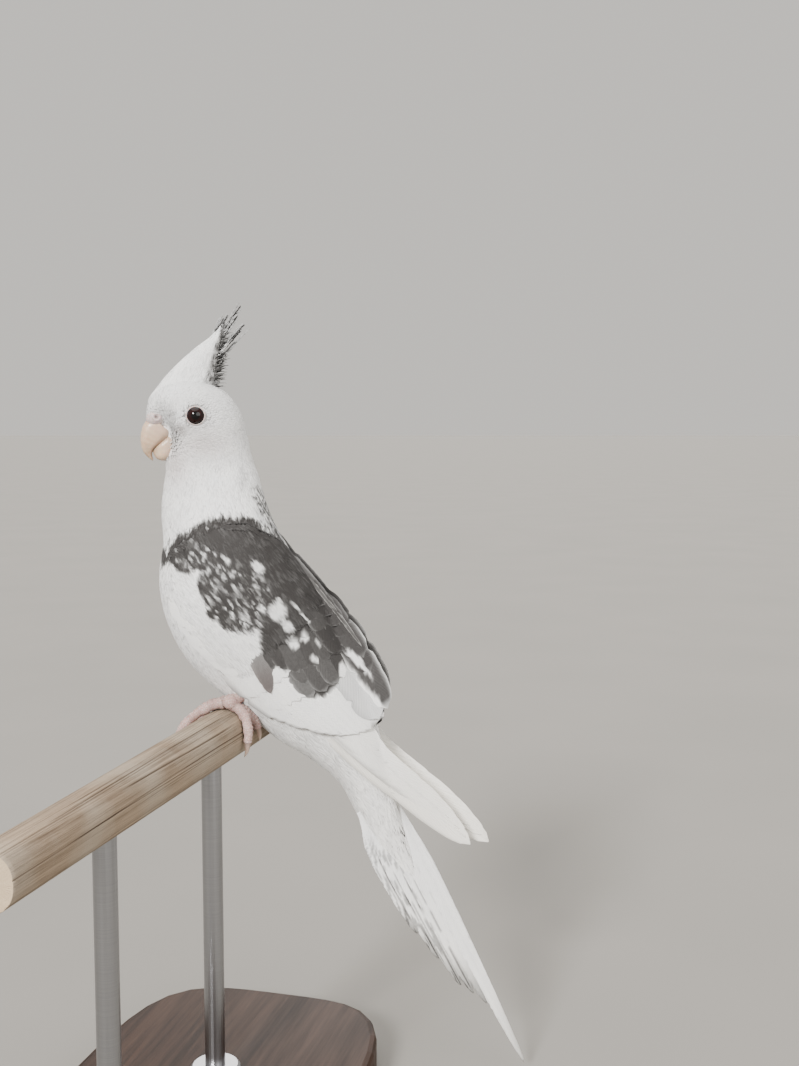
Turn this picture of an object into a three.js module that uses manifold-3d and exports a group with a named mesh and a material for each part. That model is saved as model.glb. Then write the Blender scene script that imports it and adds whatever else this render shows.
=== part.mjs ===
// A life-size still model of a pied cockatiel, gripping a short cut length of perch, on a plain display stand.
// Millimetres, +Z up. The bird faces -X and its left side is -Y. The origin lies on the underside of the
// base, straight below the place where the bird's midline crosses the perch.
// The bird is drawn from the top of the perch: z 0 there is PERCH_TOP above the floor.
import * as THREE from "three";
import { mergeVertices } from "three/addons/utils/BufferGeometryUtils.js";
import Module from "manifold-3d";

const wasm = await Module();
wasm.setup();

// Driving dimensions
const degrees = THREE.MathUtils.degToRad;
const PERCH_TOP = 160; // just enough for the hanging tail to clear the floor
const GAP = 0.3; // kept between pieces that touch
const HEAD_TURN = degrees(6); // the head looks a little to the bird's left
const NECK_X = -10; // the upright axis on which the head turns
const TURN_FROM_Z = 72;
const TURN_TO_Z = 98;

const EYE = { x: -14.4, z: 117.1, surface: 12.6, radius: 4, depth: 2.6 };
const CERE = { x: -32.2, y: 2.3, z: 115.4 };
const NOSTRIL = { x: -30.6, y: 4.5, z: 116.9, radius: 0.95 };

// The folded wings, from the bend. The right one's tip lies a little further back and higher, so that they cross.
const WING_BEND = { x: -20.8, z: 66.7 };
const WING_LENGTH = 173;
const FOLD_LENGTH = 107; // bend of the wing to the tip of the longest tertial
const WING_DOWN = degrees(47.3);
const WINGS = [
  { name: "wing_left", side: -1, tipSlide: 0, tipRaise: 0 },
  { name: "wing_right", side: 1, tipSlide: 7, tipRaise: 5 },
];

const TAIL = { x: 65, z: -38, tipX: 122, tipZ: -154.7 };

const PERCH = { radius: 10.2, taper: 0.0065, near: -178, far: 40, turn: degrees(16), sides: 28 };
const FOOT_Y = 13; // half the distance between the feet
const TOE_RADIUS = 2;
const CLAW_LENGTH = 6;
// Each toe winds round the perch from the pad of the foot, two to the front and two to the back.
const TOES = [
  { name: "1", from: 20, to: 84, spread: 6 },
  { name: "2", from: 2, to: -88, spread: 5 },
  { name: "3", from: -2, to: -84, spread: -17 },
  { name: "4", from: 22, to: 100, spread: -5 },
];
const ROD = { radius: 4, along: [-26, -112], flange: 10, flangeHeight: 4 };
const BASE = { across: 58, along: 92, centre: -44, thickness: 14, edge: 2.5, sides: 48 };

// Sections of the body from the tail's root to the crown: where the back and the belly are, and half the width.
const SECTIONS = [
  { name: "tail root", back: [68.7, -52], belly: [56, -60], half: 6.5 },
  { name: "tail coverts", back: [65, -37], belly: [49, -46], half: 8.7 },
  { name: "vent", back: [61, -22.5], belly: [42.2, -33.5], half: 11 },
  { name: "rump", back: [57, -6], belly: [31, -23.7], half: 14 },
  { name: "lower back", back: [51, 11], belly: [16.5, -14.6], half: 17.5 },
  { name: "thighs", back: [43, 28.5], belly: [3.6, -3.4], half: 20.8 },
  { name: "belly", back: [35.5, 43], belly: [-9, 7.3], half: 23.3 },
  { name: "flank", back: [28, 54.5], belly: [-20, 19.3], half: 25 },
  { name: "breast", back: [21.5, 64.5], belly: [-28, 36.5], half: 24.8 },
  { name: "shoulders", back: [16.2, 74], belly: [-30, 51.5], half: 22.5 },
  { name: "neck base", back: [12.6, 83.8], belly: [-28.3, 66], half: 18.5 },
  { name: "neck", back: [10, 93.2], belly: [-28.9, 77.5], half: 15.4 },
  { name: "throat", back: [7.6, 100.7], belly: [-28, 87.5], half: 13.6 },
  { name: "nape", back: [6.3, 106.7], belly: [-27, 94.5], half: 13 },
  { name: "chin", back: [5.1, 112.2], belly: [-27.4, 100.3], half: 12.9 },
  { name: "cheek", back: [3.6, 117.3], belly: [-30.8, 106.3], half: 12.9 },
  { name: "eye", back: [1.2, 121.9], belly: [-33.4, 112.3], half: 12.7 },
  { name: "brow", back: [-2.2, 125.7], belly: [-34.2, 118.3], half: 11.9 },
  { name: "crown", back: [-6.6, 128.6], belly: [-32.6, 123.6], half: 10.3 },
  { name: "upper crown", back: [-11, 130.5], belly: [-28.8, 127.6], half: 7.6 },
  { name: "top", back: [-15.2, 131.3], belly: [-24, 130], half: 3.4 },
];
const at = (name) => SECTIONS.findIndex((s) => s.name === name) / (SECTIONS.length - 1);

const UPPER_BILL = [
  { back: [-32.5, 117], belly: [-24, 110], half: 4.6 },
  { back: [-35.3, 114], belly: [-25.5, 108.4], half: 4.8 },
  { back: [-36.5, 110.4], belly: [-27.6, 106.6], half: 4.5 },
  { back: [-36.6, 106.6], belly: [-29.8, 105.2], half: 3.7 },
  { back: [-35.8, 103.2], belly: [-31.6, 103.8], half: 2.5 },
  { back: [-34.1, 100.8], belly: [-32.3, 101.8], half: 1.3 },
  { back: [-32.2, 99.1], belly: [-31.8, 99.7], half: 0.35 },
];
const LOWER_BILL = [
  { back: [-24, 108.2], belly: [-24.6, 100.3], half: 4.1 },
  { back: [-26.9, 106.8], belly: [-27.2, 99.2], half: 4.1 },
  { back: [-29.4, 105.4], belly: [-29.4, 99.5], half: 3.4 },
  { back: [-31.1, 104.2], belly: [-30.9, 100.6], half: 2.3 },
  { back: [-32, 103.2], belly: [-31.8, 102.1], half: 1 },
];

const MATERIALS = {
  plumage: [0xe9e9e6, 0.85],
  wing: [0x6d6a68, 0.8],
  horn: [0xd9b795, 0.4],
  eye: [0x2a0a0a, 0.1],
  skin: [0xd8aba3, 0.6],
  claw: [0xb9a59a, 0.4],
  wood: [0xb79c78, 0.8],
  base: [0x3a2c22, 0.5],
  steel: [0x8f9295, 0.35, 1],
};

// Random numbers between -1 and 1 that come out the same on every run.
function seeded(seed) {
  let state = seed;
  return () => {
    state = (state * 1664525 + 1013904223) % 4294967296;
    return (state / 4294967296) * 2 - 1;
  };
}
const smooth = (t) => {
  const c = THREE.MathUtils.clamp(t, 0, 1);
  return c * c * (3 - 2 * c);
};
const mix = THREE.MathUtils.lerp;

// Solids

// A closed solid of a stack of rings that all have the same number of points. The two halves of each ring are
// split into triangles alike, so that the faces of a thin curved vane don't cross.
function loft(rings) {
  const sides = rings[0].length;
  const points = rings.flat();
  const middle = (ring) => ring.reduce((sum, p) => sum.add(p), new THREE.Vector3()).divideScalar(sides);
  points.push(middle(rings[0]), middle(rings.at(-1)));
  const index = [];
  for (let r = 0; r + 1 < rings.length; r++) {
    for (let i = 0; i < sides; i++) {
      const [a, b] = [r * sides + i, r * sides + ((i + 1) % sides)];
      if (i < sides / 2) index.push(a, b, b + sides, a, b + sides, a + sides);
      else index.push(a, b, a + sides, b, b + sides, a + sides);
    }
  }
  const last = (rings.length - 1) * sides;
  for (let i = 0; i < sides; i++) {
    const next = (i + 1) % sides;
    index.push(points.length - 2, next, i, points.length - 1, last + i, last + next);
  }
  const geometry = new THREE.BufferGeometry().setFromPoints(points);
  geometry.setIndex(index);
  return solid(geometry);
}

function solid(geometry) {
  const bare = new THREE.BufferGeometry().setAttribute("position", geometry.getAttribute("position"));
  if (geometry.index) bare.setIndex(geometry.index);
  const merged = mergeVertices(bare, 1e-4);
  const vertProperties = new Float32Array(merged.attributes.position.array);
  const triVerts = new Uint32Array(merged.index.array);
  const made = new wasm.Manifold(new wasm.Mesh({ numProp: 3, vertProperties, triVerts }));
  if (made.volume() > 0) return made;
  for (let i = 0; i < triVerts.length; i += 3) {
    [triVerts[i], triVerts[i + 1]] = [triVerts[i + 1], triVerts[i]];
  }
  return new wasm.Manifold(new wasm.Mesh({ numProp: 3, vertProperties, triVerts }));
}

const union = (pieces) => pieces.reduce((sum, piece) => sum.add(piece));
const cut = (body, ...tools) => tools.reduce((rest, tool) => rest.subtract(tool), body);
const largest = (body) => body.decompose().reduce((a, b) => (b.volume() > a.volume() ? b : a));

function meshOf(name, body, [colour, roughness, metalness = 0]) {
  const { numProp, vertProperties, triVerts } = largest(body).getMesh();
  const position = new Float32Array((vertProperties.length / numProp) * 3);
  for (let i = 0; i < position.length; i++) {
    position[i] = vertProperties[Math.floor(i / 3) * numProp + (i % 3)];
  }
  const geometry = new THREE.BufferGeometry();
  geometry.setAttribute("position", new THREE.BufferAttribute(position, 3));
  geometry.setIndex(new THREE.BufferAttribute(triVerts, 1));
  geometry.computeVertexNormals();
  const mesh = new THREE.Mesh(geometry, new THREE.MeshStandardMaterial({ color: colour, roughness, metalness }));
  mesh.name = name;
  return mesh;
}

// Sections that stand across the body's midline

function curvesOf(sections) {
  return {
    back: new THREE.CatmullRomCurve3(sections.map((s) => new THREE.Vector3(s.back[0], s.half, s.back[1]))),
    belly: new THREE.CatmullRomCurve3(sections.map((s) => new THREE.Vector3(s.belly[0], 0, s.belly[1]))),
  };
}

function sectionAt(curves, u) {
  const back = curves.back.getPoint(u);
  const half = back.y;
  back.y = 0;
  const belly = curves.belly.getPoint(u);
  const up = back.clone().sub(belly);
  const depth = up.length() / 2;
  up.normalize();
  return { back, belly, half, up, depth, centre: back.clone().add(belly).multiplyScalar(0.5) };
}

// One ring round the body, grown outwards by grow and moved along the body by shift.
function ring(curves, u, sides, grow = 0, shift = 0) {
  const { half, up, depth, centre } = sectionAt(curves, u);
  const along = new THREE.Vector3(up.z, 0, -up.x).multiplyScalar(shift);
  return Array.from({ length: sides }, (_, i) => {
    const angle = (i / sides) * 2 * Math.PI;
    return centre
      .clone()
      .addScaledVector(up, Math.cos(angle) * (depth + grow))
      .add(new THREE.Vector3(0, Math.sin(angle) * (half + grow), 0))
      .add(along);
  });
}

function turnHead(p) {
  const angle = HEAD_TURN * smooth((p.z - TURN_FROM_Z) / (TURN_TO_Z - TURN_FROM_Z));
  const x = p.x - NECK_X;
  return p.set(
    NECK_X + x * Math.cos(angle) - p.y * Math.sin(angle),
    x * Math.sin(angle) + p.y * Math.cos(angle),
    p.z,
  );
}

const turned = (x, y, z) => turnHead(new THREE.Vector3(x, y, z));
const body = curvesOf(SECTIONS);

// The body from u0 to u1. Its ends keep half the gap to the pieces that go on there.
function bodyPiece(u0, u1, rings, sides, grow = 0) {
  const forward = -1; // shift that moves a ring towards the face
  const stack = Array.from({ length: rings }, (_, i) => {
    const u = mix(u0, u1, i / (rings - 1));
    const shift = i === 0 ? (forward * GAP) / 2 : i === rings - 1 ? (-forward * GAP) / 2 : 0;
    return ring(body, u, sides, grow, shift).map(turnHead);
  });
  return loft(stack);
}

function billPiece(sections, grow = 0) {
  const curves = curvesOf(sections);
  const [rings, sides] = [12, 12];
  const stack = Array.from({ length: rings }, (_, i) => ring(curves, i / (rings - 1), sides, grow).map(turnHead));
  return loft(stack);
}

// A round piece along a curve, with its radius at each step.
function tube(curve, radiusAt, steps, sides) {
  const frames = curve.computeFrenetFrames(steps, false);
  const stack = Array.from({ length: steps + 1 }, (_, i) => {
    const centre = curve.getPointAt(i / steps);
    const radius = radiusAt(i / steps);
    return Array.from({ length: sides }, (_, k) => {
      const angle = (k / sides) * 2 * Math.PI;
      return centre
        .clone()
        .addScaledVector(frames.normals[i], Math.cos(angle) * radius)
        .addScaledVector(frames.binormals[i], Math.sin(angle) * radius);
    });
  });
  return loft(stack);
}

function ball(x, y, z, rx, ry = rx, rz = rx, detail = 12) {
  const geometry = new THREE.SphereGeometry(1, 2 * detail, detail).scale(rx, ry, rz).translate(x, y, z);
  return solid(geometry);
}

// The perch, which runs past the bird's midline at a slant

function acrossPerch(x, along, z) {
  return new THREE.Vector3(
    x * Math.cos(PERCH.turn) + along * Math.sin(PERCH.turn),
    -x * Math.sin(PERCH.turn) + along * Math.cos(PERCH.turn),
    z,
  );
}

function perchRing(along, grow) {
  const flatness = 0.017; // the stick was sawn square and then rounded off
  const radius = PERCH.radius + PERCH.taper * Math.min(along, 0) + grow;
  return Array.from({ length: PERCH.sides }, (_, i) => {
    const angle = (i / PERCH.sides) * 2 * Math.PI;
    const reach = radius * (1 - flatness * Math.cos(4 * angle));
    return acrossPerch(reach * Math.cos(angle), along, reach * Math.sin(angle) - PERCH.radius);
  });
}
const perchSolid = (grow) =>
  loft([PERCH.near - grow, 0, PERCH.far + grow].map((along) => perchRing(along, grow)));

function onPerch(turn, along, height) {
  const reach = PERCH.radius + height;
  const angle = degrees(turn);
  return acrossPerch(Math.sin(angle) * reach, along, Math.cos(angle) * reach - PERCH.radius);
}

// Feet

function toeCurve(toe, side) {
  const count = 6;
  const points = Array.from({ length: count }, (_, i) => {
    const t = i / (count - 1);
    const along = side * (FOOT_Y - toe.spread * smooth(t));
    return onPerch(mix(toe.from, toe.to, t), along, 2 * GAP + TOE_RADIUS * mix(1.12, 0.86, t));
  });
  return new THREE.CatmullRomCurve3(points);
}

const toeRadius = (t) => TOE_RADIUS * mix(1.1, 0.76, t) * (1 + 0.07 * Math.cos(t * 6 * Math.PI));

function foot(side, grow = 0) {
  const pad = onPerch(11, side * FOOT_Y, 3.3);
  const toes = TOES.map((toe) => tube(toeCurve(toe, side), (t) => toeRadius(t) + grow, 8, 7));
  return union([ball(pad.x, pad.y, pad.z, 3.4 + grow, 3.6 + grow, 2.6 + grow, 5), ...toes]);
}

function shank(side) {
  const pad = onPerch(14, side * FOOT_Y, 3.5);
  const ankle = new THREE.Vector3(17, side * 11.5, 14);
  return tube(new THREE.LineCurve3(pad, ankle), () => 2.4, 4, 10);
}

function claw(toe, side, grow = 0) {
  const curve = toeCurve(toe, side);
  const end = curve.getPoint(1);
  const ahead = curve.getTangent(1);
  const axis = acrossPerch(0, side * FOOT_Y, -PERCH.radius);
  const inwards = axis.sub(end).normalize();
  const start = end.clone().addScaledVector(ahead, GAP - grow);
  const path = new THREE.QuadraticBezierCurve3(
    start,
    start.clone().addScaledVector(ahead, CLAW_LENGTH * 0.5).addScaledVector(inwards, -0.6),
    start.clone().addScaledVector(ahead, CLAW_LENGTH * 0.85 + grow).addScaledVector(inwards, 0.4),
  );
  return tube(path, (t) => mix(1.2, 0.2, t ** 1.3) + grow, 4, 6);
}

// The wings, drawn on the bird's side: along from the bend to the tip, and rise above that line

// How far the torso's side stands from the midline at a place seen from the side.
const outlines = Array.from({ length: 80 }, (_, i) => sectionAt(body, mix(0, at("neck"), i / 79)));
function torsoHalf(x, z) {
  let before = null;
  for (const { centre, up, depth, half } of outlines) {
    const [dx, dz] = [x - centre.x, z - centre.z];
    const ahead = dx * up.z - dz * up.x;
    const across = (dx * up.x + dz * up.z) / depth;
    const reach = half * Math.sqrt(Math.max(1 - across * across, 0));
    if (before && before.ahead > 0 !== ahead > 0) {
      return mix(before.reach, reach, before.ahead / (before.ahead - ahead));
    }
    before = { ahead, reach };
  }
  return 0;
}

function wingPoint(wing, along, rise, lift) {
  const [c, s] = [Math.cos(WING_DOWN), Math.sin(WING_DOWN)];
  const tipward = smooth((along - FOLD_LENGTH) / (WING_LENGTH - FOLD_LENGTH));
  const [reach, height] = [along + wing.tipSlide * tipward, rise + wing.tipRaise * tipward];
  const p = new THREE.Vector3(WING_BEND.x + c * reach + s * height, 0, WING_BEND.z - s * reach + c * height);
  const least = mix(mix(4.5, 9.5, smooth((along - 50) / 50)), 4.2, smooth((along - 105) / 65));
  const reachOut = Math.cbrt(torsoHalf(p.x, p.z) ** 3 + least ** 3) + 2.2 * smooth(along / 25) + lift;
  p.y = wing.side * Math.max(reachOut, GAP);
  return p;
}

function tableAt(table, key) {
  const next = Math.max(table.findIndex(([k]) => key <= k), 1);
  const [[k0, v0], [k1, v1]] = [table[next - 1], table[next]];
  return mix(v0, v1, THREE.MathUtils.clamp((key - k0) / (k1 - k0), 0, 1));
}

// The folded wing's upper and lower edge, as [along, rise].
const WING_TOP = [
  [0, 5], [5, 17], [13, 26], [26, 30], [47, 28.4], [69, 24.4], [92, 20.5], [102, 17], [107, 12],
];
const WING_BOTTOM = [
  [0, -6], [12, -14], [30, -20], [50, -21.5], [65, -18.5], [90, -9], [102, -4], [107, 2],
];

function wingCore(wing) {
  const [rows, columns, thickness] = [12, 6, 7.5];
  const stack = Array.from({ length: rows }, (_, r) => {
    const along = mix(0.5, FOLD_LENGTH, r / (rows - 1));
    const [low, high] = [tableAt(WING_BOTTOM, along), tableAt(WING_TOP, along)];
    const share = (c) => c / (columns - 1);
    const outside = Array.from({ length: columns }, (_, c) => {
      const swell = mix(0.3, 1, 1 - (2 * share(c) - 1) ** 4);
      return wingPoint(wing, along, mix(low, high, share(c)), swell);
    });
    const inside = outside.map((_, c) => wingPoint(wing, along, mix(high, low, share(c)), -thickness));
    return [...outside, ...inside];
  });
  return loft(stack);
}

// Feathers

// Half the width of a vane at t, as a share of its widest: rounded off at the tip, or drawn out to a point.
const roundTip = (t) => {
  const tip = Math.sqrt(Math.max(1 - smooth((t - 0.62) / 0.38) ** 2, 0.05));
  return mix(0.5, 1, smooth(t / 0.4)) * tip;
};
const longTip = (t) => mix(0.5, 1, smooth(t / 0.3)) * Math.max(1 - smooth((t - 0.3) / 0.75) ** 1.2, 0.1);

// A vane of steps lengths. place(t, across, level) is a point of it, with across from -1 to 1.
function vane(place, steps, thickness) {
  const stack = Array.from({ length: steps + 1 }, (_, i) => {
    const t = i / steps;
    const corner = (across, level) => place(t, across, level);
    return [corner(-1, thickness), corner(1, thickness), corner(1, 0), corner(-1, 0)];
  });
  return loft(stack);
}

// A feather of the folded wing from its root to its tip, [along, rise] each. Its root is sunk, and its tip and
// its lower edge stand out over the feathers behind.
function wingFeather(wing, { root, tip, width, level = 0, sink = 1, stand = 0.7, thickness = 0.9,
  bow = 0, outline = roundTip }) {
  const run = new THREE.Vector2(tip[0] - root[0], tip[1] - root[1]);
  const beside = new THREE.Vector2(-run.y, run.x).normalize();
  const place = (t, across, height) => {
    const off = across * (width / 2) * outline(t) + bow * Math.sin(Math.PI * t);
    const lift = level + mix(-sink, stand, smooth(t * 1.3)) - 0.25 * across + height;
    return wingPoint(wing, root[0] + run.x * t + beside.x * off, root[1] + run.y * t + beside.y * off, lift);
  };
  return vane(place, 3, thickness);
}

// One row of feathers: from and to are the places of its first and last tip.
function wingRow(wing, { count, from, to, reach, slant, ...feather }, random) {
  return Array.from({ length: count }, (_, i) => {
    const share = i / (count - 1);
    const tip = [mix(from[0], to[0], share) + 0.8 * random(), mix(from[1], to[1], share)];
    const back = mix(reach[0], reach[1], share);
    return wingFeather(wing, { ...feather, tip, root: [tip[0] - back, tip[1] + mix(slant[0], slant[1], share)] });
  });
}

const WING_ROWS = [
  // Primaries, then secondaries from the lowest up
  { count: 5, from: [172.5, 0], to: [136, 4.5], reach: [96, 62], slant: [-7, 2], width: 11.5,
    level: -2.6, sink: 0, stand: 0.6, bow: -2.5, outline: longTip },
  { count: 5, from: [82, -12.5], to: [104, 0], reach: [36, 40], slant: [-2, 6], width: 14, level: -0.9, bow: -2 },
  // Tertials and scapulars
  { count: 3, from: [106, 11.5], to: [88, 20.5], reach: [46, 40], slant: [4, 3], width: 14, level: -0.3, bow: 0.8 },
  { count: 3, from: [76, 22.5], to: [46, 27], reach: [26, 22], slant: [3, 2], width: 11, level: 0 },
  // Greater, median and lesser coverts
  { count: 5, from: [66, -15], to: [71, 12.5], reach: [18, 16], slant: [1, 3], width: 9.5, level: -0.3 },
  { count: 5, from: [48, -16.5], to: [56, 17], reach: [12, 12], slant: [1, 2], width: 10.5, level: -0.1 },
  { count: 4, from: [31, -13], to: [39, 20], reach: [11, 11], slant: [1, 2], width: 12.5, level: 0 },
];

function wingSolid(wing) {
  const random = seeded(wing.side + 5);
  return union([wingCore(wing), ...WING_ROWS.flatMap((row) => wingRow(wing, row, random))]);
}

// The tail: twelve feathers in a narrow tent, the long middle pair on top and each next pair shorter and lower.
const TAIL_REACH = [130, 99, 92, 86, 71, 57];
const TENT = { wide: 0.47, hang: 0.88, first: 2.5, apart: 3.1, width: 8.6, thickness: 0.8 };

function tailFeather(side, order) {
  const length = TAIL_REACH[order];
  const run = new THREE.Vector3(TAIL.tipX - TAIL.x, 0, TAIL.tipZ - TAIL.z).normalize();
  const back = new THREE.Vector3(-run.z, 0, run.x);
  const outwards = new THREE.Vector3(0, side * TENT.wide, 0).addScaledVector(back, -TENT.hang);
  const above = new THREE.Vector3(0, side * TENT.hang, 0).addScaledVector(back, TENT.wide);
  const start = new THREE.Vector3(TAIL.x, 0, TAIL.z);
  const place = (t, across, height) => {
    const fold = mix(0.9, 1, smooth(t * 2)) * (1 - 0.1 * smooth((t * length - 70) / 60));
    const off = (TENT.first + TENT.apart * order) * fold + across * (TENT.width / 2) * longTip(t * 0.97);
    const level = height - 0.5 * order - 0.15 * across;
    const point = start.clone().addScaledVector(run, length * t);
    return point.addScaledVector(outwards, off).addScaledVector(above, level);
  };
  return vane(place, order < 2 ? 6 : 4, TENT.thickness);
}
const tail = () => union([-1, 1].flatMap((side) => TAIL_REACH.map((_, order) => tailFeather(side, order))));

// The crest. Each row is a place on the crown and where the tip of the feather that grows there stands.
const CREST_ROOTS = { front: [-30, 125], rear: [-9, 129] };
const CREST_TIPS = [
  [-25, 134], [-19.5, 139.5], [-14.5, 144], [-9.5, 148.5], [-4, 154.5], [3.8, 161.3], [4.4, 154.4], [1.7, 147.8],
  [-1.5, 143], [-4.5, 138], [-6, 132.5],
];

function crestFeather([tipX, tipZ], share, y, random) {
  const { front, rear } = CREST_ROOTS;
  const root = new THREE.Vector3(mix(front[0], rear[0], share), y, mix(front[1], rear[1], share) - 0.09 * y * y);
  const tip = new THREE.Vector3(tipX - 0.25 * Math.abs(y), y * 0.2 + 0.4 * random(), tipZ - 0.5 * Math.abs(y));
  const rise = new THREE.Vector3(mix(-3.5, 1, share), 0, mix(5, 3, share));
  const path = new THREE.QuadraticBezierCurve3(root, root.clone().lerp(tip, 0.5).add(rise), tip);
  const twist = degrees(24 + y * 12 + 10 * random());
  const length = path.getLength();
  const place = (t, across, height) => {
    const run = path.getTangent(t);
    const flat = new THREE.Vector3(-run.z, 0, run.x).multiplyScalar(Math.sin(twist));
    flat.y = Math.cos(twist);
    const up = flat.clone().cross(run).normalize();
    const off = across * Math.min(2.6, length / 6) * longTip(t);
    return turnHead(path.getPoint(t).addScaledVector(flat, off).addScaledVector(up, height - 0.3));
  };
  return vane(place, 4, 0.6);
}

function crest() {
  const random = seeded(11);
  return CREST_TIPS.flatMap((tip, i) => {
    const share = i / (CREST_TIPS.length - 1);
    const places = i % 2 ? [-3.4, 3.4] : [0];
    return places.map((y) => crestFeather(tip, share, y, random));
  });
}

// The bird

const bird = new THREE.Group();
bird.position.z = PERCH_TOP;
const add = (name, made, material) => bird.add(meshOf(name, made, MATERIALS[material]));
const sideName = (side) => (side < 0 ? "left" : "right");

const torso = (grow = 0) => bodyPiece(0, at("neck base"), 22, 24, grow);
const skull = (grow = 0) => bodyPiece(at("nape"), 1, 15, 22, grow);
const perchGrown = perchSolid(GAP);
const toesGrown = [-1, 1].flatMap((side) => [foot(side, GAP), ...TOES.map((toe) => claw(toe, side, GAP))]);

add("torso", cut(torso(), perchGrown, ...toesGrown), "plumage");
add("neck", bodyPiece(at("neck base"), at("nape"), 7, 24), "plumage");

const eyes = [-1, 1].map((side) => {
  const centre = turned(EYE.x, side * (EYE.surface - EYE.depth), EYE.z);
  const outward = turned(EYE.x, side * EYE.surface, EYE.z).sub(centre).normalize();
  return { side, centre, outward };
});
const eyeball = ({ centre }, grow = 0) => ball(centre.x, centre.y, centre.z, EYE.radius + grow, undefined, undefined, 8);
const lids = eyes.map(({ centre, outward }) => {
  const facing = new THREE.Quaternion().setFromUnitVectors(new THREE.Vector3(0, 0, 1), outward);
  const rim = centre.clone().addScaledVector(outward, EYE.depth - 0.2);
  return solid(new THREE.TorusGeometry(3.9, 0.85, 5, 18).applyQuaternion(facing).translate(rim.x, rim.y, rim.z));
});
const cere = (grow = 0) => [-1, 1].map((side) => {
  const p = turned(CERE.x, side * CERE.y, CERE.z);
  return ball(p.x, p.y, p.z, 3.3 + grow, 2.5 + grow, 2.5 + grow, 7);
});
const nostrils = [-1, 1].map((side) => {
  const p = turned(NOSTRIL.x, side * NOSTRIL.y, NOSTRIL.z);
  return ball(p.x, p.y, p.z, NOSTRIL.radius, NOSTRIL.radius, NOSTRIL.radius, 5);
});
const head = union([skull(), ...crest(), ...lids, ...cere()]);
add("head", cut(head, ...eyes.map((eye) => eyeball(eye, GAP)), ...nostrils), "plumage");
eyes.forEach((eye) => add(`eye_${sideName(eye.side)}`, eyeball(eye), "eye"));

const face = [skull(GAP), ...cere(GAP)];
add("bill_upper", cut(billPiece(UPPER_BILL), ...face), "horn");
add("bill_lower", cut(billPiece(LOWER_BILL), ...face, billPiece(UPPER_BILL, GAP)), "horn");

for (const wing of WINGS) {
  add(wing.name, cut(wingSolid(wing), torso(GAP)), "wing");
}
add("tail", cut(tail(), torso(GAP)), "plumage");

for (const side of [-1, 1]) {
  const bare = cut(shank(side), torso(GAP)).add(foot(side));
  add(`leg_${sideName(side)}`, cut(bare, perchGrown), "skin");
  TOES.forEach((toe) => add(`claw_${sideName(side)}_${toe.name}`, cut(claw(toe, side), perchGrown), "claw"));
}

// Perch and stand

add("perch", perchSolid(0), "wood");
const turnedPiece = (profile, sides, centre) => {
  const points = profile.map(([r, z]) => new THREE.Vector2(r, z));
  const geometry = new THREE.LatheGeometry(points, sides).rotateX(Math.PI / 2);
  return solid(geometry.translate(centre.x, centre.y, centre.z));
};
ROD.along.forEach((along, i) => {
  const height = PERCH_TOP - BASE.thickness - PERCH.radius;
  const flange = [[ROD.flange, 0], [ROD.flange, ROD.flangeHeight - 1], [ROD.flange - 1, ROD.flangeHeight]];
  const profile = [[0, 0], ...flange, [ROD.radius, ROD.flangeHeight], [ROD.radius, height], [0, height]];
  const foot = acrossPerch(0, along, BASE.thickness - PERCH_TOP + GAP);
  add(`stand_rod_${i + 1}`, cut(turnedPiece(profile, 24, foot), perchGrown), "steel");
});
const baseRing = (inset, height) =>
  Array.from({ length: BASE.sides }, (_, i) => {
    const [c, s] = [Math.cos((i / BASE.sides) * 2 * Math.PI), Math.sin((i / BASE.sides) * 2 * Math.PI)];
    const corner = (Math.abs(c) ** 4 + Math.abs(s) ** 4) ** -0.25; // a rectangle with well rounded corners
    const along = BASE.centre + (BASE.along - inset) * corner * s;
    return acrossPerch((BASE.across - inset) * corner * c, along, height - PERCH_TOP);
  });
const { thickness, edge } = BASE;
const baseRings = [[0, 0], [0, thickness - edge], [edge * 0.3, thickness - edge * 0.3], [edge, thickness]];
add("stand_base", loft(baseRings.map(([inset, height]) => baseRing(inset, height))), "base");

export default bird;
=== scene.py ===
# A life-size still model of a pied cockatiel on a short length of perch, held by a plain display stand.
# Points are worked out in millimetres in the bird's own frame, from the top of the perch: it faces -X, its
# left side is -Y, and put() turns them into metres above the floor.
import math

import bpy
import numpy as np
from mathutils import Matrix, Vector
from mathutils.bvhtree import BVHTree


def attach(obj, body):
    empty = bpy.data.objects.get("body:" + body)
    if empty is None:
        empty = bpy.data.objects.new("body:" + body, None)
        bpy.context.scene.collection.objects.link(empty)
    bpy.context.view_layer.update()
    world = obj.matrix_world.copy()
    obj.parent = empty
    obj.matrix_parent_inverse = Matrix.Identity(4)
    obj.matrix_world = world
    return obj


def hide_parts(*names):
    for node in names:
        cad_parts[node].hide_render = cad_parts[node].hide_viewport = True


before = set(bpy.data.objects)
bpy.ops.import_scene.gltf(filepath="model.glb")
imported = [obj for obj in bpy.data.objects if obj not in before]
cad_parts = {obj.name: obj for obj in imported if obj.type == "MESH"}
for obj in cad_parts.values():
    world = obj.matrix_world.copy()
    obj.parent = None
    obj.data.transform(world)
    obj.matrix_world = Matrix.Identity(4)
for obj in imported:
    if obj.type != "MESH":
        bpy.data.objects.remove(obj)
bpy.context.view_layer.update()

# Stand base: a slab of dark walnut with rounded corners and a small bevel all round, sealed with a satin oil.
# It lies along the perch and carries both rods.
PERCH_TURN = math.radians(16)


def group(name, inputs, outputs):
    """An empty shader node group with named sockets. inputs are (name, kind, value), outputs (name, kind)."""
    made = bpy.data.node_groups.new(name, "ShaderNodeTree")
    for label, kind, *value in inputs:
        socket = made.interface.new_socket(label, in_out="INPUT", socket_type="NodeSocket" + kind)
        if value:
            socket.default_value = value[0]
    for label, kind in outputs:
        made.interface.new_socket(label, in_out="OUTPUT", socket_type="NodeSocket" + kind)
    return made, made.nodes.new("NodeGroupInput").outputs, made.nodes.new("NodeGroupOutput").inputs


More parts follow.
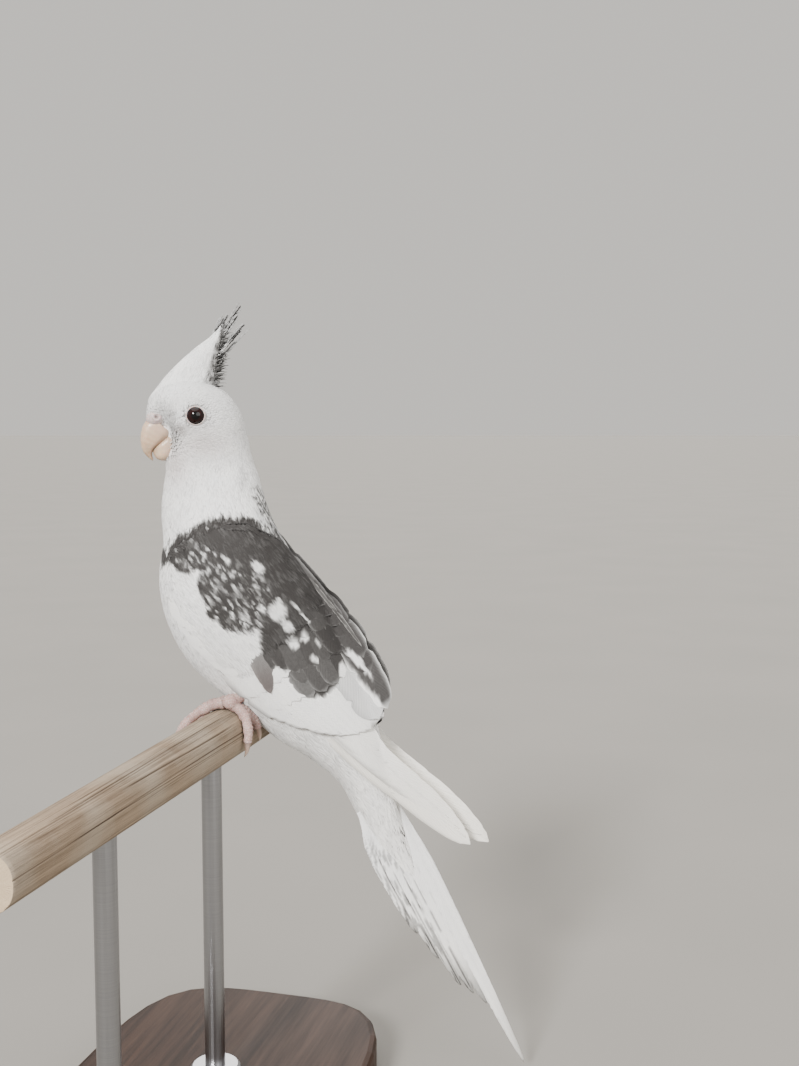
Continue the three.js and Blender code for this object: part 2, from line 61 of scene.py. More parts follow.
def feed(tree, socket, value):
    """Link a node's input, or set it."""
    if isinstance(value, bpy.types.NodeSocket):
        tree.links.new(value, socket)
    else:
        socket.default_value = value


def node(tree, kind, inputs=None, out=0, **settings):
    """A node of a tree, with its inputs linked or set, and one of its outputs."""
    made = tree.nodes.new("ShaderNode" + kind)
    for name, value in settings.items():
        setattr(made, name, value)
    for name, value in (inputs or {}).items():
        feed(tree, made.inputs[name], value)
    return made.outputs[out]


def maths(tree, operation, *values, **settings):
    return node(tree, "Math", dict(enumerate(values)), operation=operation, **settings)


def blended(tree, share, a, b):
    """Colour a where share is 0, and colour b where it is 1."""
    b = b if isinstance(b, bpy.types.NodeSocket) else (*b, 1)
    return node(tree, "Mix", {0: share, 6: a, 7: b}, out=2, data_type="RGBA")


def ramp(tree, value, *stops):
    """Greys or colours along a value. stops are (place, colour)."""
    made = node(tree, "ValToRGB", {0: value})
    elements = made.node.color_ramp.elements
    while len(elements) < len(stops):
        elements.new(0.5)
    for element, (at, colour) in zip(elements, stops):
        element.position = at
        element.color = (colour, colour, colour, 1) if isinstance(colour, float) else (*colour, 1)
    return made


def place(tree):
    """Where a point is in the model's own frame, in metres."""
    return node(tree, "TexCoord", out=3)


def cloud(tree, scale, detail=2.0, **inputs):
    """Noise over the model."""
    return node(tree, "TexNoise", {"Vector": place(tree), "Scale": scale, "Detail": detail, **inputs})


def finish_of(name, colour, rough, relief=None, **plain):
    """A material. colour makes the nodes of its colour. rough is what makes a value, with the roughness along it,
    and relief is what makes a height, with its depth and strength. The rest are plain numbers."""
    made = bpy.data.materials.new(name)
    made.use_nodes = True
    tree = made.node_tree
    sockets = tree.nodes["Principled BSDF"].inputs
    feed(tree, sockets["Base Color"], colour(tree))
    rough = ramp(tree, rough[0](tree), *rough[1:]) if isinstance(rough, tuple) else rough
    feed(tree, sockets["Roughness"], rough)
    if relief:
        values = dict(zip(("Height", "Distance", "Strength"), (relief[0](tree), *relief[1:])))
        feed(tree, sockets["Normal"], node(tree, "Bump", values))
    for label, value in plain.items():
        sockets[label.replace("_", " ")].default_value = value
    return made


# Wood grain: long fibres along the board, with growth rings across it and fine pores.
grain, ins, outs = group(
    "Wood grain",
    [("Vector", "Vector"), ("Fibre", "Float", 900.0), ("Stretch", "Float", 0.04), ("Light", "Color"),
     ("Dark", "Color")],
    [("Color", "Color"), ("Height", "Float")],
)
along = node(grain, "CombineXYZ", {0: 1.0, 1: ins["Stretch"], 2: 1.0})
lengthwise = node(grain, "VectorMath", {0: ins["Vector"], 1: along}, operation="MULTIPLY")
fibres = node(grain, "TexNoise", {"Vector": lengthwise, "Scale": ins["Fibre"], "Detail": 5.0, "Roughness": 0.7})
broad = maths(grain, "MULTIPLY", ins["Fibre"], 0.14)
rings = node(grain, "TexNoise", {"Vector": lengthwise, "Scale": broad, "Detail": 2.0, "Distortion": 0.6})
both = maths(grain, "ADD", maths(grain, "MULTIPLY", fibres, 0.55), maths(grain, "MULTIPLY", rings, 0.6))
tone = ramp(grain, both, (0.38, 0.0), (0.74, 1.0))
feed(grain, outs["Color"], blended(grain, tone, ins["Dark"], ins["Light"]))
feed(grain, outs["Height"], both)


def wood(fibre, stretch, light, dark):
    """What makes a wood's colour, and what makes its relief. Its grain runs along the perch."""
    def made(tree, output):
        turned = node(tree, "VectorRotate", {"Vector": place(tree), "Angle": PERCH_TURN}, rotation_type="Z_AXIS")
        values = {"Vector": turned, "Fibre": fibre, "Stretch": stretch, "Light": (*light, 1), "Dark": (*dark, 1)}
        return node(tree, "Group", values, out=output, node_tree=grain)

    return lambda tree: made(tree, 0), lambda tree: made(tree, 1)


def refinish(name, finish):
    """Give a solid that keeps its own shape a better material."""
    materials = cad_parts[name].data.materials
    materials.clear()
    materials.append(finish)


walnut, walnut_grain = wood(420.0, 0.05, (0.036, 0.0135, 0.005), (0.006, 0.003, 0.002))
refinish("stand_base", finish_of("Oiled walnut", walnut, (walnut_grain, (0.3, 0.55), (0.7, 0.42)),
                                 (walnut_grain, 0.0002, 0.5), Specular_IOR_Level=0.12))

# Stand rods: two turned rods of stainless steel, each with a round foot screwed to the base. They run up into
# holes in the underside of the perch, and the lathe has left fine rings on them.


def lathe_marks(tree):
    stretched = node(tree, "VectorMath", {0: place(tree), 1: (60.0, 60.0, 4200.0)}, operation="MULTIPLY")
    return node(tree, "TexNoise", {"Vector": stretched, "Scale": 1.0, "Detail": 3.0})


def steel(tree):
    return ramp(tree, lathe_marks(tree), (0.3, (0.32, 0.32, 0.33)), (0.7, (0.36, 0.36, 0.37)))


steel_finish = finish_of("Turned steel", steel, (lathe_marks, (0.3, 0.34), (0.7, 0.28)),
                         (lathe_marks, 0.00001, 0.08), Metallic=1.0)
for name in ("stand_rod_1", "stand_rod_2"):
    refinish(name, steel_finish)

# Perch: a stick of weathered softwood, sawn square and rounded off, cut to a short length. Its surface is
# grey-beige and open along the grain, with deeper grooves and checks that are painted darker as painted shade, and
# both ends show the saw cut.
PERCH_TOP, PERCH_RADIUS, PERCH_TAPER, PERCH_NEAR, PERCH_FAR = 160.0, 10.2, 0.0065, -178.0, 40.0
PERCH_RINGS, PERCH_SIDES, GROOVES, DEEPEST = 90, 400, 70, 0.34


def put(points):
    """Points in metres above the floor, of points in millimetres from the top of the perch."""
    return (np.asarray(points, float) + (0, 0, PERCH_TOP)) / 1000


def smooth(t):
    t = np.clip(t, 0, 1)
    return t * t * (3 - 2 * t)


def mix(a, b, t):
    return a + (b - a) * t


def stacked(*parts):
    """Coordinates or marks side by side, each spread over the shape of them all."""
    return np.stack(np.broadcast_arrays(*parts), -1)


def circle(count):
    return np.linspace(0, 2 * np.pi, count, endpoint=False)


def enclosed(points, faces):
    """Six times the space inside a closed surface, below 0 where its faces look inwards."""
    points = points - points.mean(0)
    total = 0.0
    for part in faces:
        for k in range(1, part.shape[1] - 1):
            a, b, c = (points[part[:, j]] for j in (0, k, k + 1))
            total += (a * np.cross(b, c)).sum()
    return total


def tube_faces(count, rings, sides, first=0):
    """The faces of count closed tubes of that many rings and sides, whose points follow each other."""
    k = np.arange(sides)
    quad = np.stack([k, (k + 1) % sides, (k + 1) % sides + sides, k + sides], -1)
    quads = (quad + (np.arange(rings - 1) * sides)[:, None, None]).reshape(-1, 4)
    ends = np.stack([k[::-1], k + (rings - 1) * sides])
    start = (first + np.arange(count) * rings * sides)[:, None, None]
    return [(quads + start).reshape(-1, 4), (ends + start).reshape(-1, sides)]


def mesh_piece(name, points, faces, finish, slot, paint=None, vane=None, patch=None, normals=None):
    """A shown piece, from points in millimetres and arrays of faces of like size. Its points can carry paint and
    vane marks for the finish, a place on the unwrapped coat and a normal."""
    mesh = bpy.data.meshes.new(name)
    points = put(points.reshape(-1, 3))
    if enclosed(points, faces) < 0:
        faces = [part[:, ::-1] for part in faces]
    loops = np.concatenate([f.ravel() for f in faces]).astype(np.int32)
    sizes = np.concatenate([np.full(len(f), f.shape[1]) for f in faces])
    mesh.vertices.add(len(points))
    mesh.vertices.foreach_set("co", points.astype(np.float32).ravel())
    mesh.loops.add(len(loops))
    mesh.loops.foreach_set("vertex_index", loops)
    mesh.polygons.add(len(sizes))
    mesh.polygons.foreach_set("loop_start", np.concatenate([[0], np.cumsum(sizes)[:-1]]).astype(np.int32))
    mesh.update(calc_edges=True)
    mesh.polygons.foreach_set("use_smooth", np.ones(len(sizes), bool))
    for attribute, values in (("paint", paint), ("vane", vane)):
        if values is not None:
            made = mesh.color_attributes.new(attribute, "FLOAT_COLOR", "POINT")
            made.data.foreach_set("color", np.asarray(values, np.float32).reshape(-1))
    if normals is not None:
        mesh.normals_split_custom_set_from_vertices(normals.reshape(-1, 3))
    if patch is not None:
        uv = mesh.uv_layers.new(name="OFBake")
        uv.data.foreach_set("uv", patch.reshape(-1, 2)[loops].astype(np.float32).ravel())
    mesh.materials.append(finish)
    piece = bpy.data.objects.new(name, mesh)
    bpy.context.scene.collection.objects.link(piece)
    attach(piece, "root")
    return piece


def tubes(name, parts, finish, slot):
    """One piece of closed tubes. Each part holds the rings of like tubes and what mesh_piece() takes for them."""
    faces, first = [], 0
    for rings, *_ in parts:
        steps, sides = rings.shape[-3:-1]
        count = rings.size // (3 * steps * sides)
        faces += tube_faces(count, steps, sides, first)
        first += count * steps * sides
    flat = [np.concatenate([k.reshape(-1, k.shape[-1]) for k in like]) for like in zip(*parts)]
    return mesh_piece(name, flat[0], faces, finish, slot, *flat[1:])


def across_perch(x, along, z):
    c, s = math.cos(PERCH_TURN), math.sin(PERCH_TURN)
    return stacked(x * c + along * s, -x * s + along * c, z)


rng = np.random.default_rng(7)
length, turn = np.linspace(PERCH_NEAR, PERCH_FAR, PERCH_RINGS)[:, None], circle(PERCH_SIDES)
grooves = np.zeros((1, PERCH_SIDES))
for _ in range(GROOVES):
    where, width, depth = rng.uniform(0, 2 * np.pi), rng.uniform(0.008, 0.03), rng.uniform(0.08, DEEPEST)
    wander = 0.05 * np.sin(length / rng.uniform(18, 60) + rng.uniform(0, 6))
    reach = smooth((rng.uniform(20, 150) - np.abs(length - rng.uniform(PERCH_NEAR, PERCH_FAR))) / 12)
    off = np.angle(np.exp(1j * (turn - where - wander)))
    grooves = grooves + depth * reach * np.exp(-((off / width) ** 2))
fibre = 0.05 * rng.normal(size=(1, PERCH_SIDES)) + 0.02 * rng.normal(size=(PERCH_RINGS, PERCH_SIDES))
reach = PERCH_RADIUS + PERCH_TAPER * np.minimum(length, 0)
reach = reach * (1 - 0.017 * np.cos(4 * turn)) - grooves - np.abs(fibre)
stick = across_perch(reach * np.cos(turn), length, reach * np.sin(turn) - PERCH_RADIUS)
# The sawn ends: rings that draw in to a small flat disc, each a little rough.
drawn_in = np.array([0.02, 0.3, 0.6, 0.85, 0.985])[:, None, None]
ends = []
for station in (0, -1):
    middle = stick[station].mean(0)
    cut = middle + (stick[station] - middle) * drawn_in
    ends.append(cut + across_perch(0, 1.0, 0) * rng.normal(0, 0.03, (5, PERCH_SIDES, 1)))
stick = np.concatenate([ends[0], stick, ends[1][::-1]])
groove_shade_and_saw_cut = np.zeros((*stick.shape[:2], 4))
# The grooves are painted darker the deeper they are, as painted shade; the sawn ends take the colour of fresh-cut
# wood.
groove_shade_and_saw_cut[5:-5, :, 0] = 0.9 * np.clip(grooves / DEEPEST, 0, 1)
groove_shade_and_saw_cut[:5, :, 1] = groove_shade_and_saw_cut[-5:, :, 1] = 0.7


def marks_of(tree, name="paint"):
    """The values that a mesh carries at its points."""
    return node(tree, "SeparateColor", {0: node(tree, "Attribute", attribute_name=name)}).node.outputs


def perch_colour(tree):
    # groove is the painted shade in the grooves, and sawn marks the cut ends.
    groove, sawn, _ = marks_of(tree)
    bleached = blended(tree, ramp(tree, cloud(tree, 38.0, 3.0), (0.42, 0.0), (0.66, 0.45)), weathered(tree),
                       (0.38, 0.335, 0.27))
    return blended(tree, sawn, blended(tree, groove, bleached, (0.06, 0.042, 0.03)), (0.55, 0.42, 0.27))


weathered, weathered_grain = wood(1700.0, 0.02, (0.34, 0.255, 0.175), (0.1, 0.068, 0.045))
perch_finish = finish_of("Weathered softwood", perch_colour, (weathered_grain, (0.35, 0.93), (0.7, 0.74)),
                         (weathered_grain, 0.0006, 0.8), Specular_IOR_Level=0.25)
perch = tubes("perch_stick", [(stick, groove_shade_and_saw_cut)], perch_finish, "perch_wood")
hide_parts("perch")

# Skin: one seamless skin under the plumage, from the crown to the root of the tail, as on a mounted bird. It
# lies inside the coat by the coat's depth and carries the same pigment, so nothing else shows between feathers.
HEAD_TURN, NECK_X, TURN_FROM, TURN_TO = math.radians(6), -10.0, 72.0, 98.0
# From the tail's root to the crown: the back's x, z, the belly's x, z and half the width.
SECTIONS = np.array([
    (68.7, -52, 56, -60, 6.5), (65, -37, 49, -46, 8.7), (61, -22.5, 42.2, -33.5, 11), (57, -6, 31, -23.7, 14),
    (51, 11, 16.5, -14.6, 17.5), (43, 28.5, 3.6, -3.4, 20.8), (35.5, 43, -9, 7.3, 23.3), (28, 54.5, -20, 19.3, 25),
    (21.5, 64.5, -28, 36.5, 24.8), (16.2, 74, -30, 51.5, 22.5), (12.6, 83.8, -28.3, 66, 18.5),
    (10, 93.2, -28.9, 77.5, 15.4), (7.6, 100.7, -28, 87.5, 13.6), (6.3, 106.7, -27, 94.5, 13),
    (5.1, 112.2, -27.4, 100.3, 12.9), (3.6, 117.3, -30.8, 106.3, 12.9), (1.2, 121.9, -33.4, 112.3, 12.7),
    (-2.2, 125.7, -34.2, 118.3, 11.9), (-6.6, 128.6, -32.6, 123.6, 10.3), (-11, 130.5, -28.8, 127.6, 7.6),
    (-15.2, 131.3, -24, 130, 3.4),
], float)
BACK, BELLY = SECTIONS[:, [0, 4, 1]], SECTIONS[:, 2:4]


def through(points, t):
    """Points on a smooth curve through the given ones, at t from 0 to 1."""
    p = np.asarray(points, float)
    p = np.vstack([2 * p[0] - p[1], p, 2 * p[-1] - p[-2]])
    t = np.clip(np.asarray(t, float), 0, 1) * (len(p) - 3)
    i = np.minimum(t.astype(int), len(p) - 4)
    w = (t - i)[..., None]
    gap = np.sqrt(np.linalg.norm(np.diff(p, axis=0), axis=1))[:, None]
    a, b, c, d = (p[i + k] for k in range(4))
    g0, g1, g2 = (gap[i + k] for k in range(3))
    m1 = ((b - a) / g0 - (c - a) / (g0 + g1) + (c - b) / g1) * g1
    m2 = ((c - b) / g1 - (d - b) / (g1 + g2) + (d - c) / g2) * g1
    return b + m1 * w + (3 * (c - b) - 2 * m1 - m2) * w**2 + (2 * (b - c) + m1 + m2) * w**3


def turn_head(p):
    angle = HEAD_TURN * smooth((p[..., 2] - TURN_FROM) / (TURN_TO - TURN_FROM))
    x, y = p[..., 0] - NECK_X, p[..., 1]
    c, s = np.cos(angle), np.sin(angle)
    return np.stack([NECK_X + x * c - y * s, x * s + y * c, p[..., 2]], -1)


def section(u, back=BACK, belly=BELLY):
    """A cut across the body: its middle, the way up to the back, and half its depth and width."""
    top, low = through(back, u), through(belly, u)
    half, top = top[..., 1], top[..., ::2]
    up = top - low
    depth = np.linalg.norm(up, axis=-1) / 2
    return (top + low) / 2, up / (2 * depth[..., None]), depth, half


def body_at(u, angle, grow=0.0, back=BACK, belly=BELLY):
    """Points on the body at u from the tail's root to the crown, and at an angle round it from the back."""
    u, angle, grow = np.broadcast_arrays(u, angle, grow)
    centre, up, depth, half = section(u, back, belly)
    reach = (np.cos(angle) * (depth + grow))[..., None] * up + centre
    x, y, z = reach[..., 0], np.sin(angle) * (half + grow), reach[..., 1]
    if back is BACK:
        # The face narrows towards the bill, and more so beside it than above and below.
        most = 3.6 + grow + 15 * smooth((x + 29 - 2.6 * np.exp(-(((z - 107) / 6) ** 2))) / 13.5)
        narrow = y / (1 + (np.abs(y) / np.maximum(most, 1)) ** 6) ** (1 / 6)
        y = mix(y, narrow, smooth((126 - z) / 13) * smooth((z - 90) / 9))
    return turn_head(np.stack([x, y, z], -1))


def coat_depth(u):
    return np.interp(u, [0, 0.1, 0.45, 0.6, 0.72, 1], [1.8, 2.0, 1.9, 1.5, 1.0, 0.9])


def noise(p, scale, seed=0):
    """Smooth random values from -1 to 1 over space, for ragged edges."""
    made = np.random.default_rng(seed)
    total = 0
    for _ in range(5):
        way, turn = made.normal(size=3), made.uniform(0, 6.28)
        total = total + np.sin(p @ (way / np.linalg.norm(way)) * scale * made.uniform(0.6, 1.9) + turn)
    return total / 3


def inside(points, polygon):
    """How far points are inside an outline, negative outside."""
    x, y = points[..., 0], points[..., 1]
    polygon = np.asarray(polygon, float)
    odd, least = np.zeros(x.shape, bool), np.full(x.shape, 1e9)
    for (x0, y0), (x1, y1) in zip(polygon, np.roll(polygon, -1, 0)):
        slope = (x1 - x0) / (y1 - y0 if y1 != y0 else 1e-9)
        odd ^= ((y0 > y) != (y1 > y)) & (x < x0 + slope * (y - y0))
        run = np.array([x1 - x0, y1 - y0])
        share = np.clip(((x - x0) * run[0] + (y - y0) * run[1]) / (run @ run), 0, 1)
        least = np.minimum(least, np.hypot(x - x0 - share * run[0], y - y0 - share * run[1]))
    return np.where(odd, least, -least)


# The grey band over the shoulders, as seen from the side, and the line of the spine that the mantle follows.
BAND = [(-32, 66.5), (-26, 63.5), (-21.7, 69.5), (-17.8, 71.8), (-12.7, 74), (-7.6, 77.4), (-2.9, 78.6),
        (1.8, 78), (6.9, 77.4), (10.8, 75.3), (14.7, 71.9), (18.6, 68.8), (24, 62), (24, 40), (-10, 40), (-17, 57),
        (-22.5, 57.5), (-32, 58.5)]
SPINE = np.array([(60, 6), (51, 24), (38.9, 44), (26.8, 62.5), (16.7, 77), (11.5, 90), (8, 100)])


def body_paint(p):
    """Melanin, cream and blush of the body's plumage at places of the body. The blush holds painted shade as well
    as skin.
    """
    side = p[..., ::2]
    high = side[..., 1]

    def patch(at, size):
        return np.exp(-(((side - at) / size) ** 2).sum(-1))

    ragged = 1.6 * noise(p, 0.9, 3) + 1.1 * noise(p, 2.4, 4)
    band = smooth((inside(side, BAND) + ragged + 0.3) / 1.3)
    back = np.interp(high, SPINE[:, 1], SPINE[:, 0])
    near_back = smooth((side[..., 0] - back + 6 + 0.6 * ragged) / 2.5) * smooth((92 - high) / 8)
    speckle = smooth((noise(p, 1.7, 9) + noise(p, 3.1, 10) + 0.75 - 0.02 * (high - 60)) / 0.7)
    mantle = near_back * mix(speckle, 1, smooth((66 - high) / 12)) * smooth((high - 14) / 10)
    melanin = np.maximum(band * 0.94, mantle * 0.85)
    smudge = patch((4.5, 92), (1.8, 4)) * (0.5 + 0.5 * noise(p, 2, 5))
    streaks = 0.6 + 0.4 * noise(p, 4.5, 6)
    # The lores are pink-grey strands, darkened further with painted shade. The cheek and throat patches are painted
    # shade tinted pink over the white plumage.
    lores, brow = patch((-18.8, 111.8), (3.2, 2.2)) * streaks, patch((-22.8, 117.6), (1.9, 1.7)) * streaks
    cheek, throat = patch((-10, 106), (10, 7)), patch((-22, 97), (6, 8))
    head = smooth((high - 104) / 12)
    return stacked(
        np.clip(melanin + 0.34 * smudge + 0.26 * lores + 0.24 * brow + 0.04 * cheek + 0.05 * head, 0, 1),
        0.04 + 0.16 * smooth((18 - high) / 60), np.clip(0.6 * lores + 0.55 * cheek + 0.6 * throat, 0, 1), 0.0,
    )


# Feather pigment: white keratin, greyed by melanin, yellowed by cream, and pinked and darkened by the blush, which
# is skin showing through on the lores and painted shade on the cheeks and throat.
pigment, ins, outs = group(
    "Feather pigment",
    [("Melanin", "Float", 0.0), ("Cream", "Float", 0.0), ("Blush", "Float", 0.0), ("Mottle", "Float", 0.1),
     ("Dark", "Color", (0.075, 0.068, 0.066, 1))],
    [("Color", "Color")],
)
cloudy = cloud(pigment, 130.0, 4.0, Roughness=0.6)
keratin = ramp(pigment, cloudy, (0.35, (0.83, 0.835, 0.84)), (0.68, (0.9, 0.9, 0.89)))
creamy = blended(pigment, ins["Cream"], keratin, (0.86, 0.8, 0.68))
# The blush colour is a dark grey pink, so that the blush paints shade as well as skin.
pinked_and_shaded = blended(pigment, ins["Blush"], creamy, (0.5, 0.43, 0.415))
flecks = maths(pigment, "MULTIPLY", maths(pigment, "SUBTRACT", cloud(pigment, 900.0), 0.5), ins["Mottle"])
dusted = maths(pigment, "MULTIPLY_ADD", flecks, ins["Melanin"], ins["Melanin"], use_clamp=True)
clear = maths(pigment, "POWER", maths(pigment, "SUBTRACT", 1.0, dusted), 2.0)
feed(pigment, outs["Color"], blended(pigment, maths(pigment, "SUBTRACT", 1.0, clear), pinked_and_shaded, ins["Dark"]))

# Barb lines: fine ridges that run out from a feather's shaft to its edge, read from the vane's own attribute.
barbs, ins, outs = group(
    "Barb lines",
    [("Barbs", "Float", 60.0), ("Slant", "Float", 0.7), ("Shaft", "Float", 0.03)],
    [("Height", "Float"), ("Shade", "Float")],
)
across, down, lot = marks_of(barbs, "vane")
off = maths(barbs, "ABSOLUTE", maths(barbs, "SUBTRACT", across, 0.5))
slanted = maths(barbs, "SUBTRACT", down, maths(barbs, "MULTIPLY", off, ins["Slant"]))
jumbled = maths(barbs, "ADD", slanted, maths(barbs, "MULTIPLY", lot, 7.0))
wave = maths(barbs, "SINE", maths(barbs, "MULTIPLY", jumbled, maths(barbs, "MULTIPLY", ins["Barbs"], 6.283)))
shaft = maths(barbs, "LESS_THAN", off, ins["Shaft"])
ridges = maths(barbs, "ADD", maths(barbs, "MULTIPLY", wave, 0.5), maths(barbs, "MULTIPLY", shaft, 2.0))
strands = maths(barbs, "MULTIPLY", jumbled, 21.0)
feed(barbs, outs["Height"], ridges)
feed(barbs, outs["Shade"], node(barbs, "TexNoise", {"W": strands, "Detail": 2.0}, noise_dimensions="1D"))
CHARCOAL = (0.027, 0.0245, 0.0235, 1)


def plumage(name, barb_count, slant, shaft_width, mottle, ridge, roughness, shadow, dark=CHARCOAL, **plain):
    """A feather finish with its own barbs and pigment."""
    def lines(tree, output=1):
        values = {"Barbs": barb_count, "Slant": slant, "Shaft": shaft_width}
        return node(tree, "Group", values, out=output, node_tree=barbs)

    def colour(tree):
        melanin, cream, blush_and_shade = marks_of(tree)
        values = {"Melanin": melanin, "Cream": cream, "Blush": blush_and_shade, "Mottle": mottle, "Dark": dark}
        coloured = node(tree, "Group", values, node_tree=pigment)
        shade = ramp(tree, lines(tree), (0.3, 1.0 - shadow), (0.6, 1.0))
        return node(tree, "Mix", {0: 1.0, 6: coloured, 7: shade}, out=2, data_type="RGBA", blend_type="MULTIPLY")

    return finish_of(name, colour, (lines, (0.3, roughness + 0.12), (0.7, roughness)),
                     (lambda tree: lines(tree, 0), ridge), **plain)


def surface_tree(points):
    """The surface of a tube, that feathers can be laid on."""
    faces = [tuple(map(int, face)) for part in tube_faces(1, *points.shape[:2]) for face in part]
    return BVHTree.FromPolygons([tuple(p) for p in points.reshape(-1, 3)], faces)


def bed(name, points, paint_at, patch):
    """A skin that feathers stand in. It shades as one plain part of a vane."""
    vane = np.broadcast_to([0.3, 0.5, 0.5, 1.0], (*points.shape[:2], 4))
    return tubes(name, [(points, paint_at(points), vane, patch)], coat_finish, "plumage")


def unwrapped(angle, v):
    """A place on the body's unwrapped skin."""
    return stacked(angle / (2 * np.pi) * 0.94 + 0.02, v)


coat_finish = plumage("Body plumage", 3.0, 0.2, 0.0, 0.5, 0.00003, 0.8, 0.22, Sheen_Weight=0.12,
                      Specular_IOR_Level=0.25)
U_STEPS, AROUND = 200, 120
grid_u, grid_a = np.linspace(0, 1, U_STEPS)[:, None], circle(AROUND)
skin_points = body_at(grid_u, grid_a, -coat_depth(grid_u))
# The crown is rounded off under the crest, and the root of the tail draws in under the coverts.
crown, root = skin_points[-1].mean(0), skin_points[0].mean(0)
TAIL_RUN = np.array([57.0, 0, -116.7]) / np.hypot(57.0, 116.7)
shrink = [(0.2, 0.12, 34), (0.4, 0.3, 30), (0.55, 0.45, 22), (0.75, 0.62, 12), (0.93, 0.84, 4)]
skin_points = np.concatenate([
    [root + (skin_points[0] - root) * (share, narrow, share) + TAIL_RUN * away for share, narrow, away in shrink],
    skin_points,
    [crown + (skin_points[-1] - crown) * math.cos(k) + (0, 0, 0.9 * math.sin(k)) for k in (0.5, 1.0, 1.45)],
])
skin_rings = len(skin_points)
skin = bed("skin", skin_points, body_paint, unwrapped(grid_a, np.linspace(0.02, 0.98, skin_rings)[:, None]))
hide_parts("torso", "neck", "head")
skin_tree = surface_tree(skin_points)

# Body plumage: contour feathers of the neck, breast, belly and rump. Each is a soft vane whose barbs part into
# a few flat blades, rooted in the skin and lying back over the next, long at the tail's root and short above.
BOTH_SIDES = ((-1, "left"), (1, "right"))
EYE_X, EYE_Z, EYE_OUT, EYE_RADIUS, EYE_DEEP = -14.4, 117.1, 12.6, 4.0, 2.6
EYES = {side: turn_head(np.array([EYE_X, side * (EYE_OUT - EYE_DEEP), EYE_Z])) for side, _ in BOTH_SIDES}
OUTWARD = {side: turn_head(np.array([EYE_X, side * EYE_OUT, EYE_Z])) - EYES[side] for side, _ in BOTH_SIDES}
RIMS = {side: EYES[side] + OUTWARD[side] / EYE_DEEP * 2.4 for side, _ in BOTH_SIDES}
BILL_ROOT = turn_head(np.array([-29.5, 0, 110.5]))
# How high and how wide a blade is on its way to its tip, the widest feather, how much room the feathers leave
# round the perch, and what the export takes in one piece, in triangles.
RISE, BLADE, WIDEST, PERCH_ROOM, HEAVIEST = [-0.15, 0.55, 0.85, 0.97], [0.55, 0.95, 1.0, 0.8], 9.6, 0.35, 180000


def unit(v):
    return v / np.maximum(np.linalg.norm(v, axis=-1, keepdims=True), 1e-9)


def flat_on(v, normal):
    """A way turned to lie along a surface."""
    return unit(v - normal * (v * normal).sum(-1)[..., None])


def nearest(tree, points):
    """The nearest places on a surface, and the way out from it there."""
    places, normals = np.empty_like(points), np.empty_like(points)
    for i, p in enumerate(points):
        places[i], normals[i], _, _ = tree.find_nearest(p)
    return places, normals


def from_perch(points):
    """The way to points from the perch's middle line."""
    off = points - (0, 0, -PERCH_RADIUS)
    return off - (off @ across_perch(0, 1.0, 0))[..., None] * across_perch(0, 1.0, 0)


def lie(points, normals, u):
    """Which way the feathers lie: back from the bill on the head, past the eye, and down the body to the tail."""
    near = (np.clip(u + k, 0, 1) for k in (-0.02, 0.02))
    tailward, headward = ((body_at(k, 0.0) + body_at(k, math.pi)) / 2 for k in near)
    on_head = smooth((u - 0.6) / 0.14)[:, None]
    way = on_head * unit(points - BILL_ROOT) + (1.15 - on_head) * unit(tailward - headward)
    for rim in RIMS.values():
        away = points - rim
        reach = np.linalg.norm(away, axis=1)[:, None]
        towards = np.minimum((unit(way) * unit(away)).sum(1)[:, None], 0)
        way = way - 1.15 * towards * unit(away) * smooth((9.5 - reach) / 4)
    return flat_on(way, normals)


def feather_length(u):
    """From the tail's root to the crown."""
    return np.interp(u, [0, 0.08, 0.2, 0.35, 0.45, 0.55, 0.63, 0.7, 0.85, 1],
                     [19, 16, 12, 10.5, 9.5, 7.6, 5.8, 4.2, 3.3, 3.4])


def roots(surface, length_of, u0, u1, row_share, across_share, seed):
    """Rows of roots round a body, set so that each feather overlaps the next ones like tiles."""
    random = np.random.default_rng(seed)
    made_u, made_a = [], []
    u, row = u0, 0
    turn = np.linspace(0, 2 * np.pi, 73)
    while u < u1:
        ring, ahead = surface(u, turn), surface(u + 0.01, turn)
        lengths = np.concatenate([[0], np.cumsum(np.linalg.norm(np.diff(ring, axis=0), axis=1))])
        span = length_of(u)
        count = max(int(lengths[-1] / (span * across_share)), 6)
        shares = (np.arange(count) + 0.5 * (row % 2) + random.uniform(-0.22, 0.22, count)) / count
        made_a.append(np.interp(shares % 1 * lengths[-1], lengths, turn))
        du = span * row_share / max(np.linalg.norm(ahead - ring, axis=1).mean() / 0.01, 40)
        made_u.append(u + du * random.uniform(-0.3, 0.3, count))
        u += du
        row += 1
    return np.clip(np.concatenate(made_u), 0, 1), np.concatenate(made_a)


